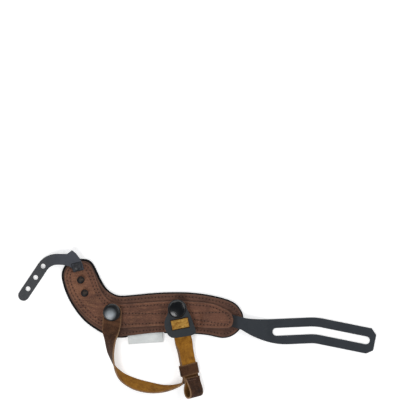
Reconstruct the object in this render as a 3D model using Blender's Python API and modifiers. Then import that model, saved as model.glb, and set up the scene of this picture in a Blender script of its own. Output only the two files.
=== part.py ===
"""Camera hand grip strap, lying flat with its inside down. Metres, +Z up.

The origin is on the pad's underside, between its two press studs. +X runs along the pad towards the
slotted strap, and +Y towards the edge that the fingers come out of. Lengths in the drawing lists are
millimetres of the drawn pad, which PAD_LENGTH and PAD_DEPTH stretch.
"""

import math

import bmesh
import bpy
from mathutils import Matrix, Vector

MM = 0.001

# Overall sizes of the pad, end to end and edge to edge
PAD_LENGTH = 160.5 * MM
PAD_DEPTH = 69.8 * MM
DRAWN_LENGTH = 160.5 * MM
DRAWN_DEPTH = 69.8 * MM

# Sheet goods
PAD_THICK = 4.0 * MM
LEATHER_THICK = 1.4 * MM
RUBBER_THICK = 2.0 * MM
LABEL_THICK = 0.6 * MM
LEATHER_INSET = 0.9 * MM
LOBE_INSET = 1.5 * MM
LOBE_BLEND = 12.0 * MM
PLY_GAP = 0.3 * MM
CLEARANCE = 0.35 * MM

# Wrist strap and the loop round its legs
STRAP_WIDTH = 15.2 * MM
STRAP_THICK = 1.5 * MM
LEG_GAP = 0.4 * MM
TURN_RADIUS = 1.6 * MM
BAR_TURN = 1.2 * MM
KEEPER_LENGTH = 9.7 * MM
KEEPER_THICK = 0.9 * MM
KEEPER_AT = 54.1 * MM

# Mushroom studs
STUD_PITCH = 12.0 * MM
STUD_HEAD_RADIUS = 3.3 * MM
STUD_HEAD_HEIGHT = 1.8 * MM
STUD_SHANK_RADIUS = 1.5 * MM
SCREW_FLANGE_RADIUS = 4.0 * MM
SCREW_FLANGE_THICK = 0.8 * MM
SCREW_SHANK_RADIUS = 0.9 * MM

# Press studs
CAP_RADIUS = 7.65 * MM
CAP_HEIGHT = 2.4 * MM
CAP_RIM = 0.7 * MM
SOCKET_RADIUS = 5.4 * MM
SOCKET_HEIGHT = 3.0 * MM
SOCKET_BORE = 3.3 * MM
SOCKET_ROOF = 0.5 * MM
BOSS_RADIUS = 2.9 * MM
BOSS_HEIGHT = 2.5 * MM
FLANGE_RADIUS = 5.2 * MM
FLANGE_THICK = 0.6 * MM
BARREL_RADIUS = 1.6 * MM

# Perforated strap
PERFORATED_WIDTH = 9.7 * MM
PERFORATED_HOLE_RADIUS = 2.15 * MM
PERFORATED_BEND = 15.5 * MM
PERFORATED_DROOP = 25.0 * MM
FIRST_HOLE = 7.0 * MM

# Slotted strap
SLOTTED_WIDTH = 22.8 * MM
SLOT_WIDTH = 6.8 * MM
FIRST_RUN = 34.3 * MM
SECOND_RUN = 45.7 * MM
SLOT_RISE = math.radians(2.6)
SLOT_BEND = math.radians(-14.0)
SLOT_BEND_RADIUS = 40.0 * MM
SLOT_END_WALL = 4.5 * MM
WIDENS_BY = 10.0 * MM
END_CHAMFER = 5.5 * MM
NECK_WIDTH = 10.8 * MM
SLOTTED_DROOP = 21.5 * MM
TONGUE_WIDTH = 10.6 * MM
TONGUE_LENGTH = 24.0 * MM
TONGUE_RAMP = 4.0 * MM

# Slider, whose slots lie below its press stud
SLIDER_WIDTH = 26.6 * MM
SLIDER_NECK_RADIUS = 8.4 * MM
SLIDER_SLOT = 2.6 * MM
SLIDER_SLOT_ROOM = 0.4 * MM
SLIDER_BAR = 4.2 * MM
SLIDER_BAR_AT = 13.05 * MM
SLIDER_FOOT = 6.6 * MM
DRAWN_SLIDER_WIDTH = 26.6 * MM
DRAWN_SLIDER_FOOT = 24.35

# The wrist strap's right leg, by the distance down from the slider's press stud
LEG_TURN = math.radians(11)
LEG_TILT = math.radians(36)
FOLD_TILT = math.radians(45)
FOOT_END = 25.0 * MM
RUN_START = 37.0 * MM
RUN_END = 60.0 * MM
FOLD_TWIST = 8.0 * MM
RUN_TOP = 9.0 * MM
RUN_LOW = 7.7 * MM
FOLD_HEIGHT = 8.7 * MM

# Label
LABEL_LENGTH = 30.8 * MM
LABEL_WIDTH = 12.4 * MM
LABEL_TAIL = 4.6 * MM

# Heights of the layers, from the table up
BASE_LOW = PAD_THICK + PLY_GAP
BASE_TOP = BASE_LOW + LEATHER_THICK
OVERLAY_LOW = BASE_TOP + PLY_GAP
OVERLAY_TOP = OVERLAY_LOW + LEATHER_THICK
SOCKET_LOW = OVERLAY_TOP + PLY_GAP + FLANGE_THICK + PLY_GAP
SOCKET_TOP = SOCKET_LOW + SOCKET_HEIGHT
SNAPPED_LOW = SOCKET_TOP + PLY_GAP

# The pad's outline, from its left side round the lower edge to the right end and back
PAD_OUTLINE = [
    (-78.1, 35.2), (-76.8, 28.2), (-74.5, 21.1), (-71.4, 14.1), (-67.1, 7.0), (-62.0, 0.0),
    (-55.0, -7.0), (-43.8, -14.5), (-33.4, -18.5), (-22.9, -19.3), (-7.0, -17.1), (8.8, -15.6),
    (24.6, -15.5), (40.5, -16.1), (51.0, -17.1), (61.6, -19.4), (67.0, -19.4), (72.2, -17.8),
    (77.4, -14.0), (80.6, -9.2), (82.4, -2.6), (81.0, 3.5), (75.7, 10.6), (66.9, 14.9),
    (51.0, 18.7), (35.2, 20.6), (19.4, 20.9), (3.5, 20.2), (-12.3, 18.7), (-22.9, 17.8),
    (-29.0, 18.2), (-34.8, 21.1), (-38.9, 24.9), (-43.1, 31.7), (-46.4, 38.7), (-49.9, 45.6),
    (-53.9, 49.3), (-59.8, 50.4), (-66.0, 50.0), (-71.3, 47.9), (-74.8, 44.9), (-77.0, 40.9),
]
OVERLAY_OUTLINE = [
    (-75.4, 34.3), (-73.6, 26.4), (-70.8, 19.4), (-65.6, 10.6), (-60.0, 3.5), (-51.4, -4.6),
    (-41.0, -10.0), (-27.0, -10.9), (-7.0, -9.7), (13.2, -8.8), (35.2, -9.7), (50.0, -10.6),
    (63.4, -10.9), (70.8, -9.8), (72.7, -4.4), (71.6, 3.6), (66.8, 8.4), (56.3, 10.9),
    (40.5, 12.8), (19.4, 13.4), (0.0, 12.5), (-17.6, 11.1), (-28.2, 10.9), (-36.4, 14.1),
    (-42.2, 21.1), (-46.2, 29.9), (-49.0, 38.0), (-53.0, 44.6), (-59.5, 47.6), (-67.0, 46.6),
    (-73.2, 41.6),
]

# Where the fastenings go on the pad
ANCHOR_PLACE = (-64.2, 43.3)
STUD_LINE = Vector((0.285, -0.9585))
LEFT_SNAP_PLACE = (-33.4, 3.5)
RIGHT_SNAP_PLACE = (24.0, 6.3)
LEFT_EDGE_PLACE = (-33.4, -18.5)
SLOTTED_ROOT_PLACE = (72.0, -3.9)
SLOTTED_NECK_PLACE = (81.9, -6.9)
LABEL_PLACE = (-3.8, -15.6)
LABEL_TURN = math.radians(5.4)

# The perforated strap from its stud: the middle line's points, and the foot's outline
PERFORATED_TIP = (-47.3, -25.3)
PERFORATED_CORNER = (-25.8, 6.8)
PERFORATED_NECK = (-12.8, 6.6)
PERFORATED_LEAVES = -11.5 * MM
FOOT_OUTLINE = [
    (-9.4, 1.2), (-6.6, 0.4), (-4.5, -1.2), (-2.9, -4.9), (6.1, -2.7), (4.6, 3.2), (2.6, 7.4),
    (-0.9, 12.0), (-4.4, 14.7), (-8.5, 11.5),
]
# The slider's outline from its neck down the left side and up the right, down and across
SLIDER_SIDES = [
    (4.6, -10.6), (9.0, -13.2), (14.5, -13.7), (20.0, -12.5), (23.6, -9.6), (24.6, -4.0), (24.9, 4.0),
    (24.7, 9.4), (22.4, 12.4), (15.5, 11.6), (7.4, 10.3), (4.0, 9.3),
]
# Where the slotted strap's slot starts, from its neck
SLOT_START = (29.4, -7.3)

# The wrist strap from its own press stud to the folded end: the middle line, the tilt of the smooth
# side in degrees, and the share of the press stud's height that it still has
LOOP_PATH = [
    (-33.4, 3.5, 0, 1.0), (-33.8, -5.0, 2, 0.98), (-34.3, -12.3, 14, 0.80), (-34.7, -19.4, 46, 0.45),
    (-34.8, -25.5, 59, 0.26), (-34.4, -31.7, 69, 0.13), (-33.1, -37.8, 80, 0.05), (-31.1, -44.2, 89, 0.01),
    (-28.0, -49.4, 101, 0.0), (-22.9, -54.7, 114, 0.0), (-14.2, -59.4, 123, 0.0), (-6.5, -61.8, 124, 0.0),
    (0.4, -63.1, 121, 0.0), (6.0, -63.7, 115, 0.0), (11.5, -63.8, 108, 0.0), (17.6, -63.1, 101, 0.0),
    (23.2, -61.7, 95, 0.0), (26.8, -60.3, 91, 0.0),
]
# How far the strap's low and raised edges run on at both ends of its turn behind the folded end
TURN_HANDLES = [(6.0, 3.5), (1.2, 2.6)]
# The folded end: down from the press stud, and above the middle between the two legs
FOLD_PATH = [
    (63.0, 0.95), (66.5, -0.9), (70.5, -3.0), (74.5, -3.4), (77.5, -2.1), (78.5, 0.4), (77.5, 2.9),
    (74.5, 4.1), (70.5, 3.9), (66.5, 3.1), (64.0, 2.85), (61.1, 2.8),
]


def clear_scene():
    for obj in list(bpy.data.objects):
        bpy.data.objects.remove(obj, do_unlink=True)


def new_collection(name):
    collection = bpy.data.collections.new(name)
    bpy.context.scene.collection.children.link(collection)
    return collection


def place(point):
    """A point of the drawing, in metres on the pad as it is sized."""
    x, y = point
    return Vector((x * MM * PAD_LENGTH / DRAWN_LENGTH, y * MM * PAD_DEPTH / DRAWN_DEPTH))


def placed(points):
    return [place(p) for p in points]


def material(name, color, roughness, metallic=0.0):
    made = bpy.data.materials.get(name)
    if made:
        return made
    made = bpy.data.materials.new(name)
    made.use_nodes = True
    shader = made.node_tree.nodes["Principled BSDF"]
    shader.inputs["Base Color"].default_value = (*color, 1.0)
    shader.inputs["Roughness"].default_value = roughness
    shader.inputs["Metallic"].default_value = metallic
    return made


def black_padding():
    return material("black padding", (0.012, 0.012, 0.013), 0.9)


def brown_leather():
    return material("brown leather", (0.11, 0.045, 0.028), 0.6)


def dark_rubber():
    return material("dark rubber", (0.05, 0.055, 0.065), 0.55)


def black_metal():
    return material("black metal", (0.02, 0.02, 0.022), 0.3, 0.8)


def label_cloth():
    return material("label cloth", (0.75, 0.76, 0.74), 0.8)


def keep(obj, look):
    """Puts an object among the parts with its material."""
    obj.data.materials.clear()
    obj.data.materials.append(look)
    for collection in list(obj.users_collection):
        collection.objects.unlink(obj)
    PARTS.objects.link(obj)
    return obj


def as_cutter(obj):
    obj.hide_render = True
    obj.display_type = "WIRE"
    for collection in list(obj.users_collection):
        collection.objects.unlink(obj)
    CUTTERS.objects.link(obj)
    return obj


def spread(start, end, count):
    """Evenly spaced numbers, with both ends."""
    return [start + (end - start) * i / (count - 1) for i in range(count)]


def smooth_loop(points, steps=4):
    """A closed smooth curve through the points, as a list of points."""
    points = [Vector(p) for p in points]
    count = len(points)
    made = []
    for i in range(count):
        a, b, c, d = (points[(i + k) % count] for k in (-1, 0, 1, 2))
        for step in range(steps):
            t = step / steps
            made.append(
                0.5 * (2 * b + (c - a) * t + (2 * a - 5 * b + 4 * c - d) * t**2
                       + (3 * b - a - 3 * c + d) * t**3)
            )
    return made


def smooth_line(points, steps=4):
    """An open smooth curve through the points, with its ends kept."""
    points = [Vector(p) for p in points]
    ended = [2 * points[0] - points[1], *points, 2 * points[-1] - points[-2]]
    made = []
    for a, b, c, d in zip(ended, ended[1:], ended[2:], ended[3:]):
        for step in range(steps):
            t = step / steps
            made.append(
                0.5 * (2 * b + (c - a) * t + (2 * a - 5 * b + 4 * c - d) * t**2
                       + (3 * b - a - 3 * c + d) * t**3)
            )
    return [*made, points[-1]]


def inset(loop, distance):
    """A closed outline moved inwards by the distance. The outline runs counter-clockwise."""
    made = []
    for before, here, after in zip(loop[-1:] + loop[:-1], loop, loop[1:] + loop[:1]):
        along = (after - before).normalized()
        made.append(here + distance * Vector((-along.y, along.x)))
    return made


def arc(centre, radius, start, end, steps=8):
    """Points on an arc, with angles in radians."""
    return [
        Vector(centre) + radius * Vector((math.cos(a), math.sin(a)))
        for a in spread(start, end, steps + 1)
    ]


def round_corners(corners, radii, steps=4):
    """A closed outline of straight sides, each corner rounded by its radius."""
    made = []
    corners = [Vector(c) for c in corners]
    previous, following = corners[-1:] + corners[:-1], corners[1:] + corners[:1]
    for before, here, after, radius in zip(previous, corners, following, radii):
        into, out = (before - here).normalized(), (after - here).normalized()
        half = into.angle(out) / 2
        reach = radius / math.tan(half)
        start, end = here + into * reach, here + out * reach
        for t in spread(0, 1, steps + 1):
            made.append((1 - t) ** 2 * start + 2 * t * (1 - t) * here + t**2 * end)
    return made


def plate(name, loops, low, thick):
    """A flat sheet, from low up. The first loop is its outline and the rest are holes."""
    curve = bpy.data.curves.new(name, "CURVE")
    curve.dimensions = "2D"
    curve.fill_mode = "BOTH"
    curve.extrude = thick / 2
    for loop in loops:
        spline = curve.splines.new("POLY")
        spline.points.add(len(loop) - 1)
        for point, at in zip(spline.points, loop):
            point.co = (at.x, at.y, 0.0, 1.0)
        spline.use_cyclic_u = True
    drawn = bpy.data.objects.new(name + " outline", curve)
    bpy.context.scene.collection.objects.link(drawn)
    drawn.location.z = low + thick / 2
    bpy.context.view_layer.update()
    mesh = bpy.data.meshes.new_from_object(drawn.evaluated_get(bpy.context.evaluated_depsgraph_get()))
    made = bpy.data.objects.new(name, mesh)
    made.matrix_world = drawn.matrix_world
    bpy.context.scene.collection.objects.link(made)
    bpy.data.objects.remove(drawn, do_unlink=True)
    shape = bmesh.new()
    shape.from_mesh(mesh)
    bmesh.ops.remove_doubles(shape, verts=shape.verts, dist=1e-6)
    bmesh.ops.recalc_face_normals(shape, faces=shape.faces)
    shape.to_mesh(mesh)
    shape.free()
    return made


def draped(name, x_lines, y_lines, middle, thick):
    """A sheet that follows middle(x, y), the height of its middle, over a grid of lines."""
    mesh = bpy.data.meshes.new(name)
    shape = bmesh.new()
    columns, rows = len(x_lines) - 1, len(y_lines) - 1
    bmesh.ops.create_grid(shape, x_segments=columns, y_segments=rows, size=1.0)
    for vertex in shape.verts:
        x = x_lines[round((vertex.co.x + 1) / 2 * columns)]
        y = y_lines[round((vertex.co.y + 1) / 2 * rows)]
        vertex.co = (x, y, middle(x, y))
    shape.to_mesh(mesh)
    shape.free()
    made = bpy.data.objects.new(name, mesh)
    bpy.context.scene.collection.objects.link(made)
    wall = made.modifiers.new("thickness", "SOLIDIFY")
    wall.thickness = thick
    wall.offset = 0.0
    wall.use_even_offset = True
    return made


def boolean(obj, cutter, operation="DIFFERENCE"):
    modifier = obj.modifiers.new(operation.lower(), "BOOLEAN")
    modifier.operation = operation
    modifier.solver = "EXACT"
    modifier.object = as_cutter(cutter)


def peg(name, centre, radius, low, high, sides=24):
    """A plain round cutter."""
    mesh = bpy.data.meshes.new(name)
    shape = bmesh.new()
    bmesh.ops.create_cone(
        shape, cap_ends=True, segments=sides, radius1=radius, radius2=radius, depth=high - low
    )
    shape.to_mesh(mesh)
    shape.free()
    made = bpy.data.objects.new(name, mesh)
    made.location = (centre.x, centre.y, (low + high) / 2)
    bpy.context.scene.collection.objects.link(made)
    return made


def turned(name, centre, low, profile, look, closed=False, steps=28):
    """A turned piece. The profile is radius and height pairs, down the outside from top to bottom."""
    mesh = bpy.data.meshes.new(name)
    edges = [(i, i + 1) for i in range(len(profile) - 1)]
    if closed:
        edges.append((len(profile) - 1, 0))
    mesh.from_pydata([(r, 0.0, z) for r, z in profile], edges, [])
    made = bpy.data.objects.new(name, mesh)
    made.location = (centre.x, centre.y, low)
    bpy.context.scene.collection.objects.link(made)
    spin = made.modifiers.new("turn", "SCREW")
    spin.steps = steps
    spin.render_steps = steps
    spin.use_merge_vertices = True
    spin.merge_threshold = 0.00001
    spin.use_smooth_shade = True
    return keep(made, look)


def smooth_step(t):
    t = min(max(t, 0.0), 1.0)
    return t * t * (3 - 2 * t)


def bezier(p0, p1, p2, p3, steps=8):
    """Points on a cubic curve, with both ends."""
    p0, p1, p2, p3 = (Vector(p) for p in (p0, p1, p2, p3))
    return [
        (1 - t) ** 3 * p0 + 3 * t * (1 - t) ** 2 * p1 + 3 * t * t * (1 - t) * p2 + t**3 * p3
        for t in spread(0, 1, steps + 1)
    ]


def circle(centre, radius, sides=20):
    return arc(centre, radius, 0, 2 * math.pi, sides)[:-1]


def along_line(line, half):
    """The outline of a flat strap of the half width along a line of points, with square ends."""
    left, right = [], []
    for i, here in enumerate(line):
        into = (here - line[i - 1]).normalized() if i else (line[1] - here).normalized()
        out = (line[i + 1] - here).normalized() if i < len(line) - 1 else into
        mean = (into + out).normalized()
        side = Vector((-mean.y, mean.x)) * half / max(mean.dot(into), 0.5)
        left.append(here + side)
        right.append(here - side)
    return left, right


def bent_line(start, corner, end, radius, steps=6):
    """Straight, a round bend of the radius at the corner, and straight again."""
    into, out = (corner - start).normalized(), (end - corner).normalized()
    turn = into.angle(out)
    reach = radius * math.tan(turn / 2)
    before, after = into * reach, out * reach
    bend = bezier(corner - before, corner - before * 0.4, corner + after * 0.4, corner + after, steps)
    return [start, *bend, end]


def stud_places():
    anchor = place(ANCHOR_PLACE)
    return [anchor + STUD_LINE.normalized() * STUD_PITCH * i for i in range(3)]


def snap_places():
    return place(LEFT_SNAP_PLACE), place(RIGHT_SNAP_PLACE)


def leg_point(down, across, height):
    """A point of the wrist strap's leg: down from the right press stud, to its right, and up."""
    origin = snap_places()[1]
    line = Vector((math.sin(LEG_TURN), -math.cos(LEG_TURN)))
    right = Vector((math.cos(LEG_TURN), math.sin(LEG_TURN)))
    flat = origin + line * down + right * across
    return Vector((flat.x, flat.y, height))


def leg_width(tilt):
    """The direction across the wrist strap's leg, towards its raised left edge."""
    right = Vector((math.cos(LEG_TURN), math.sin(LEG_TURN), 0.0))
    return -math.cos(tilt) * right + math.sin(tilt) * Vector((0, 0, 1))


def make_pad():
    outline = smooth_loop(placed(PAD_OUTLINE), 3)
    pad = plate("pad", [outline], 0.0, PAD_THICK)
    for number, centre in enumerate(snap_places()):
        low = PAD_THICK - FLANGE_THICK - PLY_GAP
        room = FLANGE_RADIUS + CLEARANCE
        boolean(pad, peg(f"post pocket {number}", centre, room, low, PAD_THICK + MM))
    for number, centre in enumerate(stud_places()):
        low = PAD_THICK - SCREW_FLANGE_THICK - PLY_GAP
        room = SCREW_FLANGE_RADIUS + CLEARANCE
        boolean(pad, peg(f"screw pocket {number}", centre, room, low, PAD_THICK + MM))
    low = PAD_THICK - LABEL_THICK - PLY_GAP
    boolean(pad, plate("label pocket", [label_loop(CLEARANCE)], low, PAD_THICK - low + MM))
    keep(pad, black_padding())


def make_base_leather():
    outline = smooth_loop(placed(PAD_OUTLINE), 3)
    lobe_start = snap_places()[0].x
    outline = [
        plain.lerp(deep, smooth_step((lobe_start - plain.x) / LOBE_BLEND))
        for plain, deep in zip(inset(outline, LEATHER_INSET), inset(outline, LOBE_INSET))
    ]
    holes = [circle(c, BARREL_RADIUS + CLEARANCE, 16) for c in snap_places()]
    holes += [circle(c, SCREW_SHANK_RADIUS + CLEARANCE, 12) for c in stud_places()]
    keep(plate("base_leather", [outline, *holes], BASE_LOW, LEATHER_THICK), brown_leather())


def tongue_box():
    """The tongue's low and high x, and low and high y."""
    root = place(SLOTTED_ROOT_PLACE)
    return root.x - TONGUE_LENGTH, root.x, root.y - TONGUE_WIDTH / 2, root.y + TONGUE_WIDTH / 2


def overlay_rise(x, y):
    """How far the overlay is lifted where the slotted strap's tongue lies under it."""
    x_low, _, y_low, y_high = tongue_box()
    over_x = smooth_step((x - x_low + TONGUE_RAMP + CLEARANCE) / TONGUE_RAMP)
    over_low = smooth_step((y - y_low + TONGUE_RAMP + CLEARANCE) / TONGUE_RAMP)
    over_high = smooth_step((y_high + TONGUE_RAMP + CLEARANCE - y) / TONGUE_RAMP)
    return (RUBBER_THICK + PLY_GAP) * over_x * over_low * over_high


def make_overlay_leather():
    outline = smooth_loop(placed(OVERLAY_OUTLINE), 4)
    x_low, _, y_low, y_high = tongue_box()
    reach = TONGUE_RAMP + CLEARANCE
    left, right = min(p.x for p in outline) - MM, max(p.x for p in outline) + MM
    x_lines = [left, *spread(x_low - reach, x_low, 5), right]
    y_lines = [min(y_low - reach, min(p.y for p in outline)) - MM, *spread(y_low - reach, y_low, 5)]
    y_lines += [*spread(y_high, y_high + reach, 5), max(p.y for p in outline) + MM]
    sheet = draped(
        "overlay_leather", x_lines, y_lines,
        lambda x, y: OVERLAY_LOW + LEATHER_THICK / 2 + overlay_rise(x, y), LEATHER_THICK,
    )
    holes = [circle(c, BARREL_RADIUS + CLEARANCE, 16) for c in snap_places()]
    holes += [circle(c, SCREW_SHANK_RADIUS + CLEARANCE, 12) for c in stud_places()]
    boolean(sheet, plate("overlay outline", [outline, *holes], 0.0, OVERLAY_TOP * 2), "INTERSECT")
    keep(sheet, brown_leather())


def make_studs():
    names = ("anchor_stud", "upper_stud", "lower_stud")
    neck = RUBBER_THICK + 2 * PLY_GAP
    top = neck + STUD_HEAD_HEIGHT
    bore = SCREW_SHANK_RADIUS + CLEARANCE
    depth = neck * 0.8
    dome = [
        (STUD_HEAD_RADIUS * math.sin(a), top - 0.65 * STUD_HEAD_HEIGHT * (1 - math.cos(a)))
        for a in spread(math.pi / 10, math.pi / 2, 5)
    ]
    head = [(0.0, top), *dome, (STUD_HEAD_RADIUS, neck), (STUD_SHANK_RADIUS, neck)]
    head += [(STUD_SHANK_RADIUS, 0.0), (bore, 0.0), (bore, depth), (0.0, depth)]
    flange_low = PAD_THICK - SCREW_FLANGE_THICK
    reach = OVERLAY_TOP + PLY_GAP + depth - PLY_GAP - flange_low
    screw = [(0.0, reach), (SCREW_SHANK_RADIUS, reach), (SCREW_SHANK_RADIUS, SCREW_FLANGE_THICK)]
    screw += [(SCREW_FLANGE_RADIUS, SCREW_FLANGE_THICK), (SCREW_FLANGE_RADIUS, 0.0), (0.0, 0.0)]
    for name, centre in zip(names, stud_places()):
        turned(name, centre, OVERLAY_TOP + PLY_GAP, head, black_metal(), steps=20)
        turned(name + "_back", centre, flange_low, screw, black_metal(), steps=20)


def make_snap(side, centre, held_thick):
    """One press stud. Cap and socket hold a sheet of held_thick, stud and post hold the leathers."""
    post_low = PAD_THICK - FLANGE_THICK
    boss_top = OVERLAY_TOP + PLY_GAP + FLANGE_THICK + BOSS_HEIGHT
    reach = boss_top - post_low
    post = [(0.0, reach), (BARREL_RADIUS, reach), (BARREL_RADIUS, FLANGE_THICK)]
    post += [(FLANGE_RADIUS, FLANGE_THICK), (FLANGE_RADIUS, 0.0), (0.0, 0.0)]
    turned(f"{side}_snap_post", centre, post_low, post, black_metal(), steps=24)

    height = FLANGE_THICK + BOSS_HEIGHT
    bore = BARREL_RADIUS + CLEARANCE
    waist = BOSS_RADIUS - 0.25 * MM
    stud = [(bore, height), (waist, height), (BOSS_RADIUS, height - 0.6 * MM), (waist, FLANGE_THICK)]
    stud += [(FLANGE_RADIUS, FLANGE_THICK), (FLANGE_RADIUS, 0.0), (bore, 0.0)]
    turned(f"{side}_snap_stud", centre, OVERLAY_TOP + PLY_GAP, stud, black_metal(), closed=True, steps=24)

    roof = SOCKET_HEIGHT - SOCKET_ROOF
    socket = [(bore, SOCKET_HEIGHT), (SOCKET_RADIUS - 0.5 * MM, SOCKET_HEIGHT)]
    socket += [(SOCKET_RADIUS, SOCKET_HEIGHT - 0.5 * MM), (SOCKET_RADIUS, 0.0), (SOCKET_BORE, 0.0)]
    socket += [(SOCKET_BORE, roof), (bore, roof)]
    turned(f"{side}_snap_socket", centre, SOCKET_LOW, socket, black_metal(), closed=True, steps=24)

    seat = SNAPPED_LOW + held_thick + PLY_GAP
    barrel_end = SOCKET_TOP - SOCKET_ROOF - seat
    dome_height = CAP_HEIGHT - CAP_RIM
    dome = [
        (CAP_RADIUS * math.sin(a), CAP_RIM + dome_height * math.cos(a))
        for a in spread(math.pi / 16, math.pi / 2, 8)
    ]
    cap = [(0.0, CAP_HEIGHT), *dome, (CAP_RADIUS - 0.3 * MM, 0.0), (BARREL_RADIUS, 0.0)]
    cap += [(BARREL_RADIUS, barrel_end), (0.0, barrel_end)]
    turned(f"{side}_snap_cap", centre, seat, cap, black_metal(), steps=36)


def droop(x, near, far, high, low):
    """The height of a rubber strap that leaves the pad at near and lies on the table from far on."""
    return high + (low - high) * smooth_step((x - near) / (far - near))


def make_perforated_strap():
    anchor = place(ANCHOR_PLACE)
    half = PERFORATED_WIDTH / 2
    tip = anchor + Vector(PERFORATED_TIP) * MM
    corner = anchor + Vector(PERFORATED_CORNER) * MM
    neck = anchor + Vector(PERFORATED_NECK) * MM
    line = bent_line(tip, corner, neck, PERFORATED_BEND)
    upper, lower = along_line(line, half)
    way = (corner - tip).normalized()
    start = math.atan2(way.y, way.x) + math.pi / 2
    rounded_tip = arc(tip, half, start, start + math.pi, 10)[1:-1]
    foot = [anchor + Vector(p) * MM for p in FOOT_OUTLINE]
    outline = [*rounded_tip, *lower, *foot, *reversed(upper)]
    hole_centres = [anchor, *(tip + way * (FIRST_HOLE + STUD_PITCH * i) for i in range(3))]
    holes = [circle(centre, PERFORATED_HOLE_RADIUS, 16) for centre in hole_centres]
    near = anchor.x + PERFORATED_LEAVES
    far = near - PERFORATED_DROOP
    high = OVERLAY_TOP + PLY_GAP + RUBBER_THICK / 2
    x_lines = [min(p.x for p in outline) - MM, *spread(far, near, 11), max(p.x for p in outline) + MM]
    y_lines = [min(p.y for p in outline) - MM, max(p.y for p in outline) + MM]
    sheet = draped(
        "perforated_strap", x_lines, y_lines,
        lambda x, y: droop(x, near, far, high, RUBBER_THICK / 2), RUBBER_THICK,
    )
    cutter = plate("perforated outline", [outline, *holes], -MM, high * 2)
    boolean(sheet, cutter, "INTERSECT")
    keep(sheet, dark_rubber())


def slot_line():
    """The middle line of the slotted strap, from the slot's start to the slot's far end."""
    neck = place(SLOTTED_NECK_PLACE)
    start = neck + Vector(SLOT_START) * MM
    first = Vector((math.cos(SLOT_RISE), math.sin(SLOT_RISE)))
    corner = start + first * FIRST_RUN
    second = Vector((math.cos(SLOT_RISE + SLOT_BEND), math.sin(SLOT_RISE + SLOT_BEND)))
    return start, corner, corner + second * SECOND_RUN


def make_slotted_strap():
    neck = place(SLOTTED_NECK_PLACE)
    half, neck_half = SLOTTED_WIDTH / 2, NECK_WIDTH / 2
    start, corner, slot_end = slot_line()
    first, second = (corner - start).normalized(), (slot_end - corner).normalized()
    tip = slot_end + second * (SLOT_WIDTH / 2 + SLOT_END_WALL)
    line = bent_line(start, corner, tip, SLOT_BEND_RADIUS)
    upper, lower = along_line(line, half)
    lower[0] = lower[0] + first * WIDENS_BY
    chamfer = second * END_CHAMFER
    side = Vector((-second.y, second.x))
    end = [
        lower[-1] - chamfer, lower[-1] + side * END_CHAMFER * 0.7,
        upper[-1] - side * END_CHAMFER * 0.9, upper[-1] - chamfer * 0.9,
    ]
    slant = Vector((0.25, 1.0)).normalized()
    neck_top, neck_low = neck + slant * neck_half, neck - slant * neck_half
    upper_flare = bezier(
        neck_top, neck_top + Vector((8.5, -1.5)) * MM, upper[0] - first * 9 * MM, upper[0], 7
    )
    lower_flare = bezier(
        neck_low, neck_low + Vector((12.0, -7.8)) * MM, lower[0] - first * 15 * MM, lower[0], 9
    )
    x_low, x_high, y_low, y_high = tongue_box()
    tongue = [
        *arc((x_low + 2 * MM, y_high - 2 * MM), 2 * MM, math.pi / 2, math.pi, 4),
        *arc((x_low + 2 * MM, y_low + 2 * MM), 2 * MM, math.pi, 3 * math.pi / 2, 4),
        Vector((x_high, y_low)),
    ]
    outline = [*tongue, *lower_flare, *lower[1:-1], *end, *reversed(upper[1:-1]), *reversed(upper_flare)]
    outline.append(Vector((x_high, y_high)))
    slot_middle = bent_line(start, corner, slot_end, SLOT_BEND_RADIUS)
    slot_upper, slot_lower = along_line(slot_middle, SLOT_WIDTH / 2)
    near_turn = math.atan2(first.y, first.x)
    far_turn = math.atan2(second.y, second.x)
    slot = [*slot_lower]
    slot += arc(slot_end, SLOT_WIDTH / 2, far_turn - math.pi / 2, far_turn + math.pi / 2, 8)[1:-1]
    slot += [*reversed(slot_upper)]
    slot += arc(start, SLOT_WIDTH / 2, near_turn + math.pi / 2, near_turn + 3 * math.pi / 2, 8)[1:-1]
    high = BASE_TOP + PLY_GAP + RUBBER_THICK / 2
    near = neck.x + 2 * MM
    far = near + SLOTTED_DROOP
    x_lines = [min(p.x for p in outline) - MM, *spread(near, far, 12), max(p.x for p in outline) + MM]
    y_lines = [min(p.y for p in outline) - MM, max(p.y for p in outline) + MM]
    sheet = draped(
        "slotted_strap", x_lines, y_lines,
        lambda x, y: droop(x, near, far, high, RUBBER_THICK / 2), RUBBER_THICK,
    )
    boolean(sheet, plate("slotted outline", [outline, slot], -MM, high * 2), "INTERSECT")
    keep(sheet, dark_rubber())


def slot_reaches():
    """How far down from its press stud each edge of the slider's two slots lies."""
    bar_low = SLIDER_BAR_AT - SLIDER_BAR / 2
    bar_high = SLIDER_BAR_AT + SLIDER_BAR / 2
    return bar_low - SLIDER_SLOT, bar_low, bar_high, bar_high + SLIDER_SLOT


def flat_leg(down, across):
    at = leg_point(down, across, 0.0)
    return Vector((at.x, at.y))


def make_slider():
    top, bar_low, bar_high, bottom = slot_reaches()
    foot = bottom + SLIDER_FOOT
    neck = [
        (-SLIDER_NECK_RADIUS * math.cos(a), SLIDER_NECK_RADIUS * math.sin(a))
        for a in spread(math.radians(100), math.radians(-100), 15)
    ]
    wide, long = MM * SLIDER_WIDTH / DRAWN_SLIDER_WIDTH, foot / DRAWN_SLIDER_FOOT
    sides = smooth_line([Vector((down * long, across * wide)) for down, across in SLIDER_SIDES], 3)
    outline = [flat_leg(p[0], p[1]) for p in [*neck, *sides]]
    slot_half = STRAP_WIDTH / 2 + SLIDER_SLOT_ROOM
    slots = [
        [flat_leg(a, -slot_half), flat_leg(b, -slot_half), flat_leg(b, slot_half), flat_leg(a, slot_half)]
        for a, b in ((top, bar_low), (bar_high, bottom))
    ]
    keep(plate("slider", [outline, hole_at_snap(), *slots], SNAPPED_LOW, RUBBER_THICK), dark_rubber())


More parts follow.
